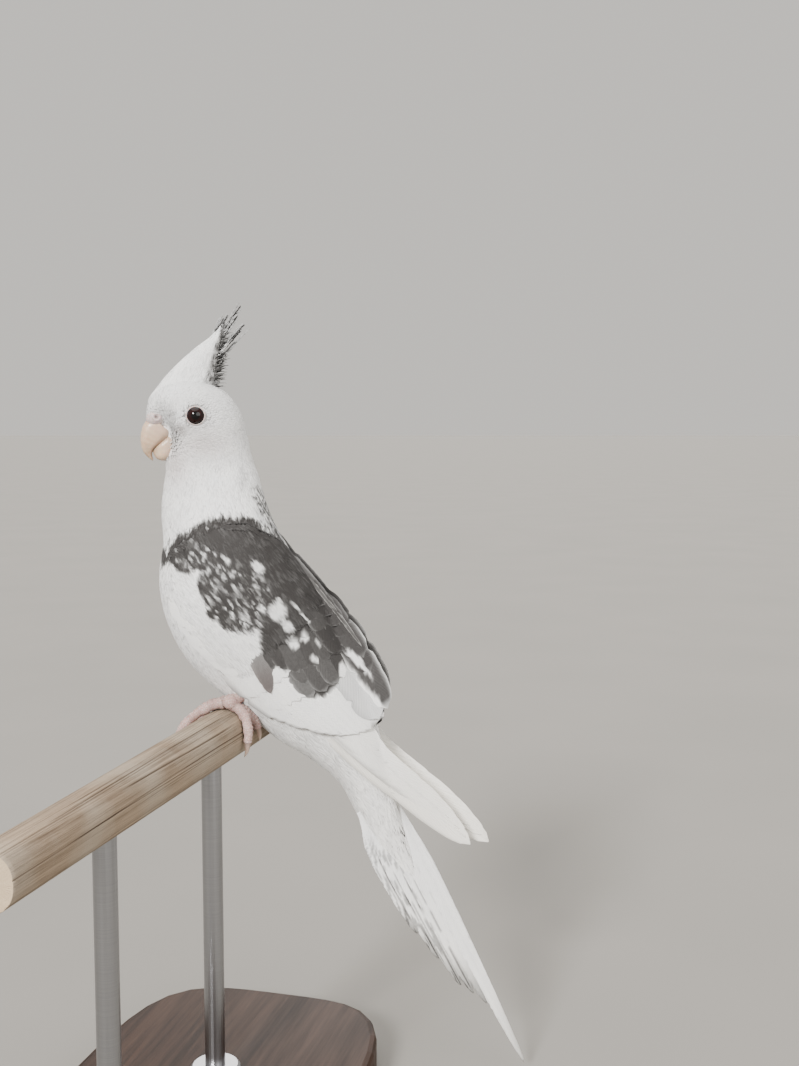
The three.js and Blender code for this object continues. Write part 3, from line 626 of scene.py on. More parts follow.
def tufts(name, tree, start, heading, span, depth, paint_at, patch_at, finish, seed, fan, slot="plumage", blades=6,
          wide=1.0, steps=4):
    """Feathers rooted at the starts on a surface, each of some blades that fan out and follow it. depth is how far
    they lie off it, and paint_at gives the pigment at any places. Their normals lean on the surface's, so that
    many blades shade as one soft coat."""
    random = np.random.default_rng(seed)
    start, normal = nearest(tree, start)
    heading = flat_on(heading, normal)
    side = np.cross(normal, heading)
    span = span * random.uniform(0.88, 1.12, len(start))
    depth = depth * random.uniform(0.9, 1.0, len(start))
    tone = random.uniform(0.84, 1.06, len(start))
    # One row for each blade from here on.
    lot = np.repeat(np.arange(len(start)), blades)
    across = np.tile(np.linspace(-1, 1, blades), len(start)) + random.uniform(-0.1, 0.1, len(lot))
    spread = (across * fan + random.normal(0, 0.03, len(lot)))[:, None]
    bladed = span[lot] * (1 - 0.22 * across**2) * random.uniform(0.92, 1.06, len(lot))
    width = wide * np.minimum(span[lot], WIDEST) * 1.05 / blades
    here, out = nearest(tree, start[lot] + side[lot] * (across * span[lot] * 0.05)[:, None])
    way = flat_on(heading[lot] * np.cos(spread) + side[lot] * np.sin(spread), out)
    thick = np.maximum(0.13 * width, 0.06)[:, None]
    rings, normals = [], []
    for k in range(steps + 1):
        t, rise, wide_at = k / steps, (RISE[:steps] + [1.0])[k], (BLADE[:steps] + [0.12])[k]
        if k:
            ahead, out = nearest(tree, here + way * (bladed / steps)[:, None])
            here, way = ahead, unit(ahead - here)
        height = depth[lot] * rise + 0.08 * t * (1 + 0.5 * np.abs(across))
        beside = unit(np.cross(out, way))
        half = beside * (width * wide_at / 2)[:, None]
        middle = here + out * height[:, None]
        rings.append(np.stack([middle - half, middle + half, middle + out * thick * (1 - 0.7 * t)], 1))
        normals.append(unit(np.stack([out - 0.48 * beside, out + 0.48 * beside, out + 0.12 * way], 1)))
    rings, normals = np.stack(rings, 1), np.stack(normals, 1)
    # Nothing grows through the perch.
    off = from_perch(rings)
    reach = np.linalg.norm(off, axis=-1, keepdims=True)
    rings = rings + off / np.maximum(reach, 1e-6) * np.clip(PERCH_RADIUS + PERCH_ROOM - reach, 0, None)
    keep = reach[:, 0, 0, 0] > PERCH_RADIUS - 0.8
    rings, normals, lot, across = (k[keep] for k in (rings, normals, lot, across))
    paint = np.repeat(paint_at(rings[:, :, 2])[:, :, None], 3, 2)
    # Single barbs are a little greyer than the rest, which draws fine strands in the white.
    greyer = 0.13 * random.uniform(0, 1, len(lot)) ** 3
    paint[..., 0] = np.clip(paint[..., 0] * tone[lot][:, None, None] + greyer[:, None, None], 0, 1)
    shade = random.uniform(0, 1, len(start))[lot][:, None, None]
    over = 0.5 + 0.5 * np.clip(across, -1, 1)[:, None, None]
    vane = stacked(over, np.linspace(0, 1, steps + 1)[:, None], shade, np.ones(3))
    patch = patch_at[lot][:, None, None] + 0.003 * (vane[..., :2] - 0.5)
    most = HEAVIEST // (6 * steps + 2)
    for i in range(0, len(rings), most):
        label = f"{name}_{i // most + 1}" if len(rings) > most else name
        tubes(label, [[k[i:i + most] for k in (rings, paint, vane, patch, normals)]], finish, slot)


def coat(name, u, angle, length_of=None, **settings):
    """Tufts on the skin."""
    start, normal = nearest(skin_tree, body_at(u, angle, -coat_depth(u)))
    span = feather_length(u) * (length_of(start) if length_of else 1)
    patch_at = unwrapped(angle, 0.02 + 0.96 * (u * (U_STEPS - 1) + 5) / skin_rings)
    tufts(name, skin_tree, start, lie(start, normal, u), span, coat_depth(u), body_paint, patch_at, coat_finish,
          **settings)


# The folded wing lies down from its bend, which is the start of its own measures along and above that line.
WING_BEND, WING_DOWN = (-20.8, 66.7), math.radians(47.3)
WING_EDGE = [(14, -9), (30, -14), (50, -15.5), (65, -13), (90, -4), (140, 0), (150, 6), (102, 16), (92, 18),
             (69, 22), (47, 26), (28, 27), (16, 20), (11, 8)]


def side_view(p):
    """Where a place is on the folded wing: along from its bend, and how far above that line."""
    dx, dz = p[..., 0] - WING_BEND[0], p[..., 2] - WING_BEND[1]
    c, s = math.cos(WING_DOWN), math.sin(WING_DOWN)
    return c * dx - s * dz, s * dx + c * dz


# Feathers stay off the part of the body that the folded wings hide.
body_u, body_a = roots(body_at, feather_length, 0.0, 0.5, 0.25, 0.24, 21)
root = body_at(body_u, body_a)
hidden = (inside(stacked(*side_view(root)), WING_EDGE) > 2.0) & ((np.abs(root[:, 1]) > 4) | (root[:, 2] < -20))
coat("coat_body", body_u[~hidden], body_a[~hidden], blades=7, fan=0.22, seed=31)
coat("coat_neck", *roots(body_at, feather_length, 0.5, 0.7, 0.24, 0.23, 22), blades=7, fan=0.24, seed=32)
# The tail's coverts, above and below, carry the coat on over the root of the tail.
COVERTS, COVERED = 700, [0, 22]
covert_turn = np.random.default_rng(24).uniform(0, 2 * np.pi, COVERTS)
covert_away = np.random.default_rng(25).uniform(*COVERED, COVERTS)
tufts("coat_tail", skin_tree, body_at(0.0, covert_turn) + TAIL_RUN * covert_away[:, None],
      np.tile(TAIL_RUN, (COVERTS, 1)), np.interp(covert_away, COVERED, [19, 15]),
      np.interp(covert_away, COVERED, [1.8, 0.35]), body_paint, unwrapped(covert_turn, 0.01), coat_finish, 34, 0.12)

# Head plumage: the same coat grown short and close, like velvet. It starts behind the bill, parts round the eye
# and runs back over the cheeks and up over the brow into the crest.
EYE_CLEAR = 4.05


def face_length(p):
    """Feathers are shorter the nearer they stand to the bill or to an eye."""
    share = np.clip((np.linalg.norm(p - BILL_ROOT, axis=1) - 3) / 13, 0.42, 1)
    for rim in RIMS.values():
        share = np.minimum(share, np.clip((np.linalg.norm(p - rim, axis=1) - 3.0) / 4, 0.4, 1))
    return share


head_u, head_a = roots(body_at, feather_length, 0.68, 0.995, 0.25, 0.25, 23)
root = body_at(head_u, head_a)
bare = (root[:, 0] < -24.8) & (root[:, 2] > 101) & (root[:, 2] < 113)
for rim in RIMS.values():
    bare |= np.linalg.norm(root - rim, axis=1) < EYE_CLEAR
coat("coat_head", head_u[~bare], head_a[~bare], face_length, blades=5, fan=0.26, wide=1.1, seed=33, steps=3)

# Wings: the folded wings are a bed of small down under rows of coverts laid like tiles, over the secondaries,
# tertials and long primaries. Each feather is a stiff cambered vane on a shaft, rooted in the wing.
WING_TOP = np.array([(0, 5), (5, 17), (13, 26), (26, 30), (47, 28.4), (69, 24.4), (92, 20.5), (102, 17), (107, 12)])
WING_LOW = np.array([(0, -6), (12, -14), (30, -20), (50, -21.5), (65, -18.5), (90, -9), (102, -4), (107, 2)])
# What the grey covers on the wing, as along and rise, the white spots in it (along, rise, and half their width
# and length), and the part that is finely speckled.
WING_GREY = [(-9, -8), (4.4, -6.8), (8.2, -6), (11.6, -2.8), (14, 1), (17.4, -2.8), (23.3, -6), (28.6, -9),
             (33.7, -7.4), (38, -7), (43, -3), (45.5, 2.2), (49, 0.5), (55, -3.5), (60, -4), (64.5, -1), (69, 1.5),
             (74, -1.5), (80, -1.5), (83.5, 3), (84, 9), (79, 14), (85, 15.2), (94, 15.4), (106, 14.8), (116, 22),
             (116, 48), (-9, 48)]
SPOTS = [(28.1, 18.1, 1.5, 2.6), (46, 12.2, 3.2, 3.6), (53.1, 11, 1.9, 2.6), (59.6, 7.5, 1.7, 2.3),
         (61.2, 12, 1.2, 1.7), (70, 9.4, 0.9, 2.4), (74.4, 4.8, 1.0, 2.4), (82.5, 19.6, 1.6, 4.2),
         (89, 19.7, 0.8, 3.2), (50, 18, 0.5, 2.6), (55.5, 17.5, 0.4, 2.8), (40.5, 8.5, 1.2, 1.6),
         (43.5, 15.2, 0.9, 1.2), (66, 14, 0.5, 1.8)]
SPECKLED = [(-4, -8), (-3, 0), (1, 4.5), (7, 8), (13, 11), (20, 13.5), (24, 16), (30, 17), (37, 16), (42, 13),
            (47, 8), (46, -3), (30, -10), (12, -8)]


def torso_half(x, z):
    """How far the body's side stands from the midline, at places seen from the side."""
    centre, up, depth, half = section(np.linspace(0, 0.55, 80))
    dx, dz = x[..., None] - centre[:, 0], z[..., None] - centre[:, 1]
    ahead = dx * up[:, 1] - dz * up[:, 0]
    reach = half * np.sqrt(np.clip(1 - ((dx * up[:, 0] + dz * up[:, 1]) / depth) ** 2, 0, None))
    change = (ahead[..., 1:] > 0) != (ahead[..., :-1] > 0)
    first = change.argmax(-1)[..., None]
    a, b, r, s = (np.take_along_axis(k, first + j, -1)[..., 0] for k in (ahead, reach) for j in (0, 1))
    return np.where(change.any(-1), mix(r, s, a / np.where(a == b, 1, a - b)), 0)


def on_wing(side, along, rise, lift):
    """A point over the folded wing. The right one's tip lies a little further back and higher."""
    along, rise, lift = np.broadcast_arrays(along, rise, lift)
    tipward = (side > 0) * smooth((along - 107) / 66)
    reach, height = along + 7 * tipward, rise + 5 * tipward
    c, s = math.cos(WING_DOWN), math.sin(WING_DOWN)
    x, z = WING_BEND[0] + c * reach + s * height, WING_BEND[1] - s * reach + c * height
    least = mix(mix(4.5, 9.5, smooth((along - 50) / 50)), 4.2, smooth((along - 105) / 65))
    out = np.cbrt(torso_half(x, z) ** 3 + least**3) + 2.2 * smooth(along / 25) + lift
    return np.stack([x, side * np.maximum(out, 0.3), z], -1)


def outline(t, blunt):
    """Half the width of a vane along its length, from its root to a blunt or a pointed tip."""
    start = 0.6 + 0.22 * blunt
    drawn_out = 1 - 0.55 * (1 - blunt) * smooth((t - 0.3) / 0.7)
    tip = np.sqrt(np.clip(1 - np.clip((t - start) / (1.0 - start), 0, 1) ** 2.2, 0.004, 1))
    return mix(0.4, 1, smooth(t / 0.3)) * drawn_out * tip


def specks(along, rise):
    """Small irregular specks in slanting rows."""
    at = stacked(along, rise, 0.0)
    along, rise = along + 0.9 * noise(at, 0.75, 18), rise + 0.8 * noise(at, 0.75, 19)
    u, v = (along + 0.5 * rise) / 3.3, rise / 2.5
    total = np.zeros(u.shape)
    for i, j in ((np.floor(u) + du, np.floor(v) + dv) for du in (-1, 0, 1) for dv in (-1, 0, 1)):
        lots = [(np.sin(i * 127.1 + j * 311.7 + k * 74.7) * 43758.5453) % 1 for k in range(4)]
        off = np.hypot((u - i - 0.2 - 0.6 * lots[0]) / (0.19 + 0.26 * lots[2]),
                       (v - j - 0.25 - 0.5 * lots[1]) / (0.17 + 0.24 * lots[2]))
        total = np.maximum(total, smooth((1.35 - off) / 0.7) * np.clip(1.8 * lots[3] - 0.1, 0, 1))
    return total * (0.85 + 0.3 * noise(at, 2.4, 20))


def wing_melanin(along, rise):
    """How grey the wing is, from its grey field, the spots and the specks."""
    at = stacked(along, rise, 0.0)
    ragged = noise(at, 0.9, 17)
    grey = smooth(inside(at, WING_GREY) + 0.9 * ragged + 0.4)
    for at_along, at_rise, wide, long in SPOTS:
        off = np.hypot((along - at_along) / long, (rise - at_rise) / wide)
        grey = grey * (1 - 0.92 * smooth((1.25 + 0.2 * ragged - off) / 0.4))
    return 0.93 * grey * (1 - 0.85 * specks(along, rise) * smooth((inside(at, SPECKLED) + 1.5) / 2.5))


def wing_patch(along, rise):
    return stacked(along / 190 + 0.1, rise / 60 + 0.45)


def both_faces(over, under=None):
    """Rings round a thin plate: over its upper face, and back along the lower one."""
    return np.concatenate([over, (over if under is None else under)[..., ::-1, :]], -2)


def faced_out(rings, *marks):
    """The same tubes with their sides in the order that makes their faces look outwards."""
    if enclosed(rings[0].reshape(-1, 3), tube_faces(1, *rings.shape[1:3])) < 0:
        return tuple(part[:, :, ::-1] for part in (rings, *marks))
    return rings, *marks


def feather(root, tip, width, level=0.0, stand=0.6, bow=0.0, blunt=1.0, grey=-1.0, pale=0.12, line=0.0,
            cream=0.12, brown=0.0):
    """A wing feather from its root's to its tip's along and rise. level and stand are how high it lies and how
    much its tip stands up. grey below 0 takes the wing's marks, and pale and line are a light and a dark edge."""
    return (*root, *tip, width, level, stand, bow, blunt, grey, pale, line, cream, brown)


def row_of(count, tips, reaches, slants, **settings):
    """A row of feathers whose tips run through the given places. A pair of values changes along the row."""
    made = []
    for share in (i / (count - 1) for i in range(count)):
        tip = through(tips, share)
        root = (tip[0] - mix(*reaches, share), tip[1] + mix(*slants, share))
        values = {k: mix(*v, share) if isinstance(v, tuple) else v for k, v in settings.items()}
        made.append(feather(root, tip, **values))
    return made


def wing_vanes(side, feathers, random, steps=14, columns=8, splits=1):
    """Rings, paint, vane marks, patch and normals of some wing feathers."""
    table = np.array(feathers, float)
    count, root, run = len(table), table[:, :2], table[:, 2:4] - table[:, :2]
    width, level, stand, bow, blunt, grey, pale, line, cream, brown = table.T[4:, :, None, None]
    t, a = np.linspace(0, 1, steps + 1)[:, None], np.linspace(-1, 1, columns + 1)
    beside = np.stack([-run[:, 1], run[:, 0]], -1) / np.linalg.norm(run, axis=1)[:, None]
    shape, edge = outline(t, blunt), np.abs(a) ** 3
    ragged = 1 + random.normal(0, 0.012, (count, steps + 1, 2))
    for _ in range(splits):
        at = random.integers(int(steps * 0.45), steps - 1, count)
        ragged[np.arange(count), at, random.integers(0, 2, count)] -= random.uniform(0.1, 0.3, count)
    fray = np.where(a < 0, ragged[:, :, :1], ragged[:, :, 1:])
    off = a * width / 2 * shape * mix(1, fray, edge) + bow * np.sin(np.pi * t)
    along, rise = (r + s * t + b * off for r, s, b in zip(*(k.T[..., None, None] for k in (root, run, beside))))
    along = along - 0.1 * width * edge * shape
    lift = level + mix(-0.9, stand, smooth(t * 1.3)) - 0.22 * a - 0.04 * width * a**2
    lift = lift + 0.12 * np.exp(-((a / 0.16) ** 2))
    upper = on_wing(side, along, rise, lift + 0.3 * (1 - 0.75 * a**2) * mix(1, 0.55, t))
    # The normals lean on the wing's own, so that overlapping vanes shade as one soft surface.
    here, ahead, above = (on_wing(side, along + k, rise + j, 0.0) for k, j in ((0, 0), (1, 0), (0, 1)))
    own = np.cross(np.gradient(upper, axis=1), np.gradient(upper, axis=2))
    outward = -side * unit(mix(unit(own), unit(np.cross(ahead - here, above - here)), 0.7))
    melanin = np.where(grey < 0, wing_melanin(along, rise), grey) * random.uniform(0.88, 1.04, (count, 1, 1))
    rim = np.maximum(smooth((np.abs(a) - 0.72) / 0.2), smooth((t - 0.93) / 0.05)) * smooth(t / 0.4)
    melanin = melanin * (1 - pale * rim) + line * smooth((-a - 0.7) / 0.2) * smooth((t - 0.1) / 0.3)
    paint = both_faces(stacked(np.clip(melanin, 0, 1), cream, brown * smooth(t * 1.4 - 0.3), 0.0))
    vane = both_faces(stacked((a + 1) / 2, t, random.uniform(0, 1, (count, 1, 1)), 1.0))
    patch = wing_patch(*root.T)[:, None, None] + 0.003 * (vane[..., :2] - 0.5)
    rings = both_faces(upper, on_wing(side, along, rise, lift))
    return faced_out(rings, paint, vane, patch, both_faces(outward, -outward))


def wing_bed(side):
    """The padded bed that the feathers stand in."""
    along, share = np.linspace(1, 107, 44)[:, None], np.linspace(0, 1, 22)
    rise = mix(np.interp(along, *WING_LOW.T) + 1, np.interp(along, *WING_TOP.T) - 1, share)
    upper = on_wing(side, along, rise, mix(-1.4, -0.45, 1 - (2 * share - 1) ** 4))
    rings = both_faces(upper, on_wing(side, along, rise, -6.5))[None]
    melanin = 0.968 * wing_melanin(*np.broadcast_arrays(along, rise))
    paint = both_faces(stacked(melanin, 0.1, 0.0, 0.0))[None]
    vane = both_faces(stacked(share, along / 107, 0.5, 1.0))[None]
    return faced_out(rings, paint, vane, vane[..., 1::-1] * 0.5 + (0.1, 0.2), np.zeros_like(rings))


def soft_coverts(side, word, random, rings):
    """The small soft coverts of the shoulder, laid like tiles from the bend of the wing."""
    along, rise = [], []
    for row, at in enumerate(np.arange(-1.0, 48, 1.9)):
        low, high = np.interp(at, *WING_LOW.T), np.interp(at, *WING_TOP.T) - 0.6
        count = int((high - low) / 1.7)
        rise.append(mix(low, high, (np.arange(count) + 0.5 * (row % 2)) / count) + random.uniform(-0.4, 0.4, count))
        along.append(at + random.uniform(-0.6, 0.6, count))
    # More of them turn over the wing's upper edge towards the back.
    edge, over = (k.ravel() for k in np.meshgrid(np.arange(6, 104, 1.9), np.arange(-5.6, -0.6, 1.1)))
    along, rise = np.concatenate([*along, edge]), np.concatenate([*rise, np.interp(edge, *WING_TOP.T) - 1.0])
    lift = np.concatenate([np.full(len(along) - len(edge), -0.4), over])
    start = on_wing(side, along, rise, lift)
    heading = on_wing(side, along + 1, rise - 0.08, lift) - start
    span, depth = np.interp(along, [0, 20, 50], [6.5, 8.5, 11]), np.interp(along, [0, 40, 50], [1.0, 1.1, 0.8])
    tufts(f"wing_{word}_shoulder", surface_tree(rings), start, heading, span, depth,
          lambda p: stacked(wing_melanin(*side_view(p)), 0.05, 0.0, 0.0), wing_patch(along, rise), wing_finish, 36,
          0.2, "wing_plumage", blades=8)


def small_rows():
    """The lower edge's coverts, the greater coverts, the median ones, and the scapulars over the upper edge."""
    return [
        *row_of(9, [(30, -17), (44, -19), (58, -18), (70, -16), (80, -12.5)], (15, 26), (-1, 0), width=6.5,
                level=-0.7, blunt=0.7),
        *row_of(7, [(76, -14), (78, -6), (82, 3), (84, 12)], (24, 22), (1, 4), width=8.5, level=-0.6, pale=0.25),
        *row_of(10, [(66, -17), (67, -9), (68, -1), (72, 8), (76, 17)], (20, 18), (1, 3), width=8.2, level=-0.45),
        *row_of(10, [(54, -17), (53, -8), (54, 2), (57, 12), (60, 22)], (13, 14), (1, 2), width=8, level=-0.25,
                stand=0.35, pale=0.2),
        *row_of(9, [(50, 26), (58, 25.5), (68, 24.3), (79, 22.3), (90, 20)], (18, 24), (0.5, 2), width=7.5,
                level=-0.25, pale=0.3),
        *row_of(5, [(54, 20.5), (65, 19.5), (76, 18)], (16, 22), (3, 2), width=7.5, level=-0.2, pale=0.25),
    ]


def long_feathers():
    """The secondaries, the tertials, and over them broad and scalloped feathers, a brown one and narrow ones that
    lie along the back."""
    return [
        *row_of(10, [(82, -14), (90, -10), (98, -5), (104, 0), (107, 5)], (38, 46), (-3, 6), width=12.5, level=-1.0,
                bow=-2.0, line=(0.42, 0.22), pale=0.3, cream=0.1, blunt=0.8, grey=0.02),
        feather((66, 15), (106.5, 10.5), 13.0, level=-0.35, bow=0.8, blunt=0.9, grey=0.2, line=0.12, cream=0.0),
        feather((60, 24.5), (105.5, 15.6), 12.0, level=-0.2, bow=1.4, blunt=0.85, pale=0.75),
        *(feather((52 + 6 * k, 27.5 - 1.2 * k), (84 + 6 * k, 22.6 - 1.6 * k), 8.0, level=-0.1 * k, stand=0.45,
                  pale=0.3) for k in range(3)),
        *(feather((tip[0] - 24, tip[1] + 4), tip, 8.6, level=-0.05, stand=0.4, grey=0.8, blunt=0.75, pale=0.3)
          for tip in ((80.5, -1.4), (82.5, 3.8), (83.5, 8.8))),
        *(feather((tip[0] - 17, tip[1] + 2.5), tip, 6.4, level=0.05, stand=0.4, grey=0.86, blunt=0.6, pale=0.25)
          for tip in ((61.5, -4.2), (65, -0.8), (69.5, 1.6), (75, 0.4))),
        feather((42, 2), (67.8, -12.3), 10.5, level=0.15, stand=0.75, bow=0.3, blunt=0.2, grey=0.6, brown=1.0,
                pale=0.25),
        *(feather((14 + 9 * k, 29.4 - 0.3 * k), (44 + 9 * k, 28.6 - 0.9 * k), 1.8, level=0.1, stand=0.5, blunt=0.4,
                  grey=0.8, pale=0.6, cream=0.3) for k in range(2, 5)),
    ]


def primaries():
    return row_of(10, [(172.5, 0.5), (167, 1.6), (158, 1.8), (148, 1), (137, 0), (126, -0.5), (116, 1)], (100, 48),
                  (-7, 2), width=(11, 12), level=(-2.9, -2.0), stand=0.5, bow=-2.0, blunt=0.85, grey=0.03, line=0.2,
                  cream=(0.55, 0.25), pale=0.0)


wing_finish = plumage("Wing plumage", 22.0, 0.5, 0.03, 0.14, 0.00005, 0.66, 0.2, Specular_IOR_Level=0.35)
for side, word in BOTH_SIDES:
    random = np.random.default_rng(50)
    padding = wing_bed(side)
    coverts = tubes(f"wing_{word}_coverts", [padding, wing_vanes(side, small_rows(), random)], wing_finish,
                    "wing_plumage")
    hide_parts(f"wing_{word}")
    quills = [wing_vanes(side, long_feathers(), random, steps=24, columns=10, splits=5),
              wing_vanes(side, primaries(), random, steps=34)]
    tubes(f"wing_{word}_quills", quills, wing_finish, "wing_plumage")
    soft_coverts(side, word, random, padding[0][0])

# Tail: twelve tail feathers in a narrow tent. The two long middle ones lie on top, and each next pair is shorter
# and hangs lower, so that their tips make steps along the tail's front edge.
TAIL_ROOT, TAIL_REACH = np.array([65.0, 0, -38.0]), [130, 99, 92, 86, 71, 57]
TAIL_STEPS, TAIL_COLUMNS = 90, 12


def tail_feather(side, order, random):
    span, lower = TAIL_REACH[order], order >= 2
    t, a = np.linspace(0, 1, TAIL_STEPS + 1)[:, None], np.linspace(-1, 1, TAIL_COLUMNS + 1)
    back = np.array([-TAIL_RUN[2], 0, TAIL_RUN[0]])
    outwards, above = (0, side * 0.47, 0) - 0.88 * back, (0, side * 0.88, 0) + 0.47 * back
    fold = mix(0.9, 1, smooth(t * 2)) * (1 - 0.1 * smooth((t * span - 70) / 60))
    shape = outline(t, 0.3 if order else 0.05)
    ragged = 1 + random.normal(0, 0.014, (TAIL_STEPS + 1, 2))
    splits = random.integers(TAIL_STEPS // 2, TAIL_STEPS - 1, 5), random.integers(0, 2, 5)
    ragged[splits] -= random.uniform(0.1, 0.25, 5)
    fray = np.where(a < 0, ragged[:, :1], ragged[:, 1:])
    off = (2.5 + 3.1 * order) * fold + a * 4.3 * shape * mix(1, fray, np.abs(a) ** 3)
    along = span * t - 1.6 * a**2 * shape * smooth(t * 3)
    level = -0.5 * order - 0.15 * a - 0.3 * a**2

    run = stacked(span * t * 0.45, off * 4.2, 0.0)
    mottle = smooth((noise(run * (1, 1.4, 1), 1.5, 60 + order) + 0.15) / 0.6)
    strip = smooth((a + 0.1) / 0.3) if order >= 3 else smooth((a - 0.6) / 0.2)
    broken = smooth((noise(run * (1, 0, 0), 0.7, 64 + order) + 0.5) / 0.4)
    seam = np.exp(-(((a - 0.1) / 0.12) ** 2)) * broken * lower * smooth((t - 0.25) / 0.2)
    melanin = 0.07 + (0.34 if lower else 0.12) * strip * mottle * smooth((t - 0.12) / 0.2) + 0.5 * seam
    melanin = np.clip(melanin + (0.4 if order else 0.15) * smooth((t - 0.72) / 0.28), 0, 0.9)
    paint = both_faces(stacked(melanin, mix(0.05, 0.4, t**2), 0.0, 0.0))[None]
    vane = both_faces(stacked((a + 1) / 2, t, random.uniform(), 1.0))[None]
    patch = np.array([0.1 + 0.13 * order, 0.3 + 0.2 * side]) + 0.1 * (vane[..., :2] - 0.5)
    faces = [TAIL_ROOT + stacked(along, off, k) @ np.array([TAIL_RUN, outwards, above])
             for k in (level + 0.3 * (1 - 0.7 * a**2), level)]
    return faced_out(both_faces(*faces)[None], paint, vane, patch)


tail_finish = plumage("Tail plumage", 42.0, 0.3, 0.04, 0.35, 0.00005, 0.6, 0.12, Specular_IOR_Level=0.35)
random = np.random.default_rng(70)
tail = tubes("tail_feathers", [tail_feather(side, order, random) for order in range(6) for side, _ in BOTH_SIDES],
             tail_finish, "plumage")
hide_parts("tail")

# Crest: feathers that rise from the forehead and crown and close to a tall blade, smooth and white in front.
# Behind it the longest ones end in loose strands with dark streaks, over a fringe of fine dark barbs.
CREST_FRONT = np.array([(-34.3, 119.8), (-33.2, 123.4), (-30.2, 127.5), (-26.6, 132.2), (-20.6, 138.4),
                        (-14.4, 144), (-9.6, 147.6), (-6.4, 150.6), (-4.2, 153.8)])
CREST_BACK = np.array([(-9, 8.2, 127), (-7.4, 7.4, 129), (-6.6, 6, 132), (-6.3, 4.9, 135.6), (-5.6, 4, 139.6),
                       (-5.2, 3.1, 142.6), (-4.8, 2.2, 145.6), (-4.2, 1.4, 149), (-3.4, 0.5, 153.2)])
# Where the loose strands end, four near each, and how many of everything there is.
STRAND_TIPS = np.array([(-3.2, 156.2), (-1.8, 157), (3.8, 161.3), (2.6, 157.6), (4.8, 153.8), (3.4, 151),
                        (1.3, 146.6)])
STRANDS, STRAND_RINGS, BARB_PAIRS, FRINGE = 28, 15, 22, 520
CREST_FROM, CREST_TO = 127.5, 152


def crest_at(t, angle, grow=0.0):
    return body_at(t, angle, grow, CREST_BACK, CREST_FRONT)


def crest_rear(z):
    return np.interp(z, CREST_BACK[:, 2], CREST_BACK[:, 0])


def crest_paint(p):
    """White in front, with dark streaks along the rear edge and at the tip."""
    high, front = p[..., 2], np.interp(p[..., 2], CREST_FRONT[:, 1], CREST_FRONT[:, 0])
    share = (p[..., 0] - front) / np.maximum(crest_rear(high) - front, 0.5)
    loose = 0.5 + 0.5 * noise(p, 2.6, 81)
    streaks = smooth(noise(p * (0.35, 1, 1), 3.2, 84) + 0.3)
    dark = smooth((share - 0.83 + 0.1 * loose) / 0.12) * smooth((high - 128.5) / 3) * (0.25 + 0.6 * streaks)
    tip = 0.5 * loose * smooth((high - 148) / 4) * smooth(share * 2 - 0.8)
    return stacked(np.clip(np.maximum(dark, tip) + 0.05, 0, 1), 0.05, 0.0, 0.0)


def crest_length(t):
    return np.interp(t, [0, 0.3, 1], [5, 10, 11])


def bent(a, b, c, t):
    """Points on a curve from a to c that bends towards b."""
    t = t[:, None]
    return (1 - t) ** 2 * a + 2 * t * (1 - t) * b + t**2 * c


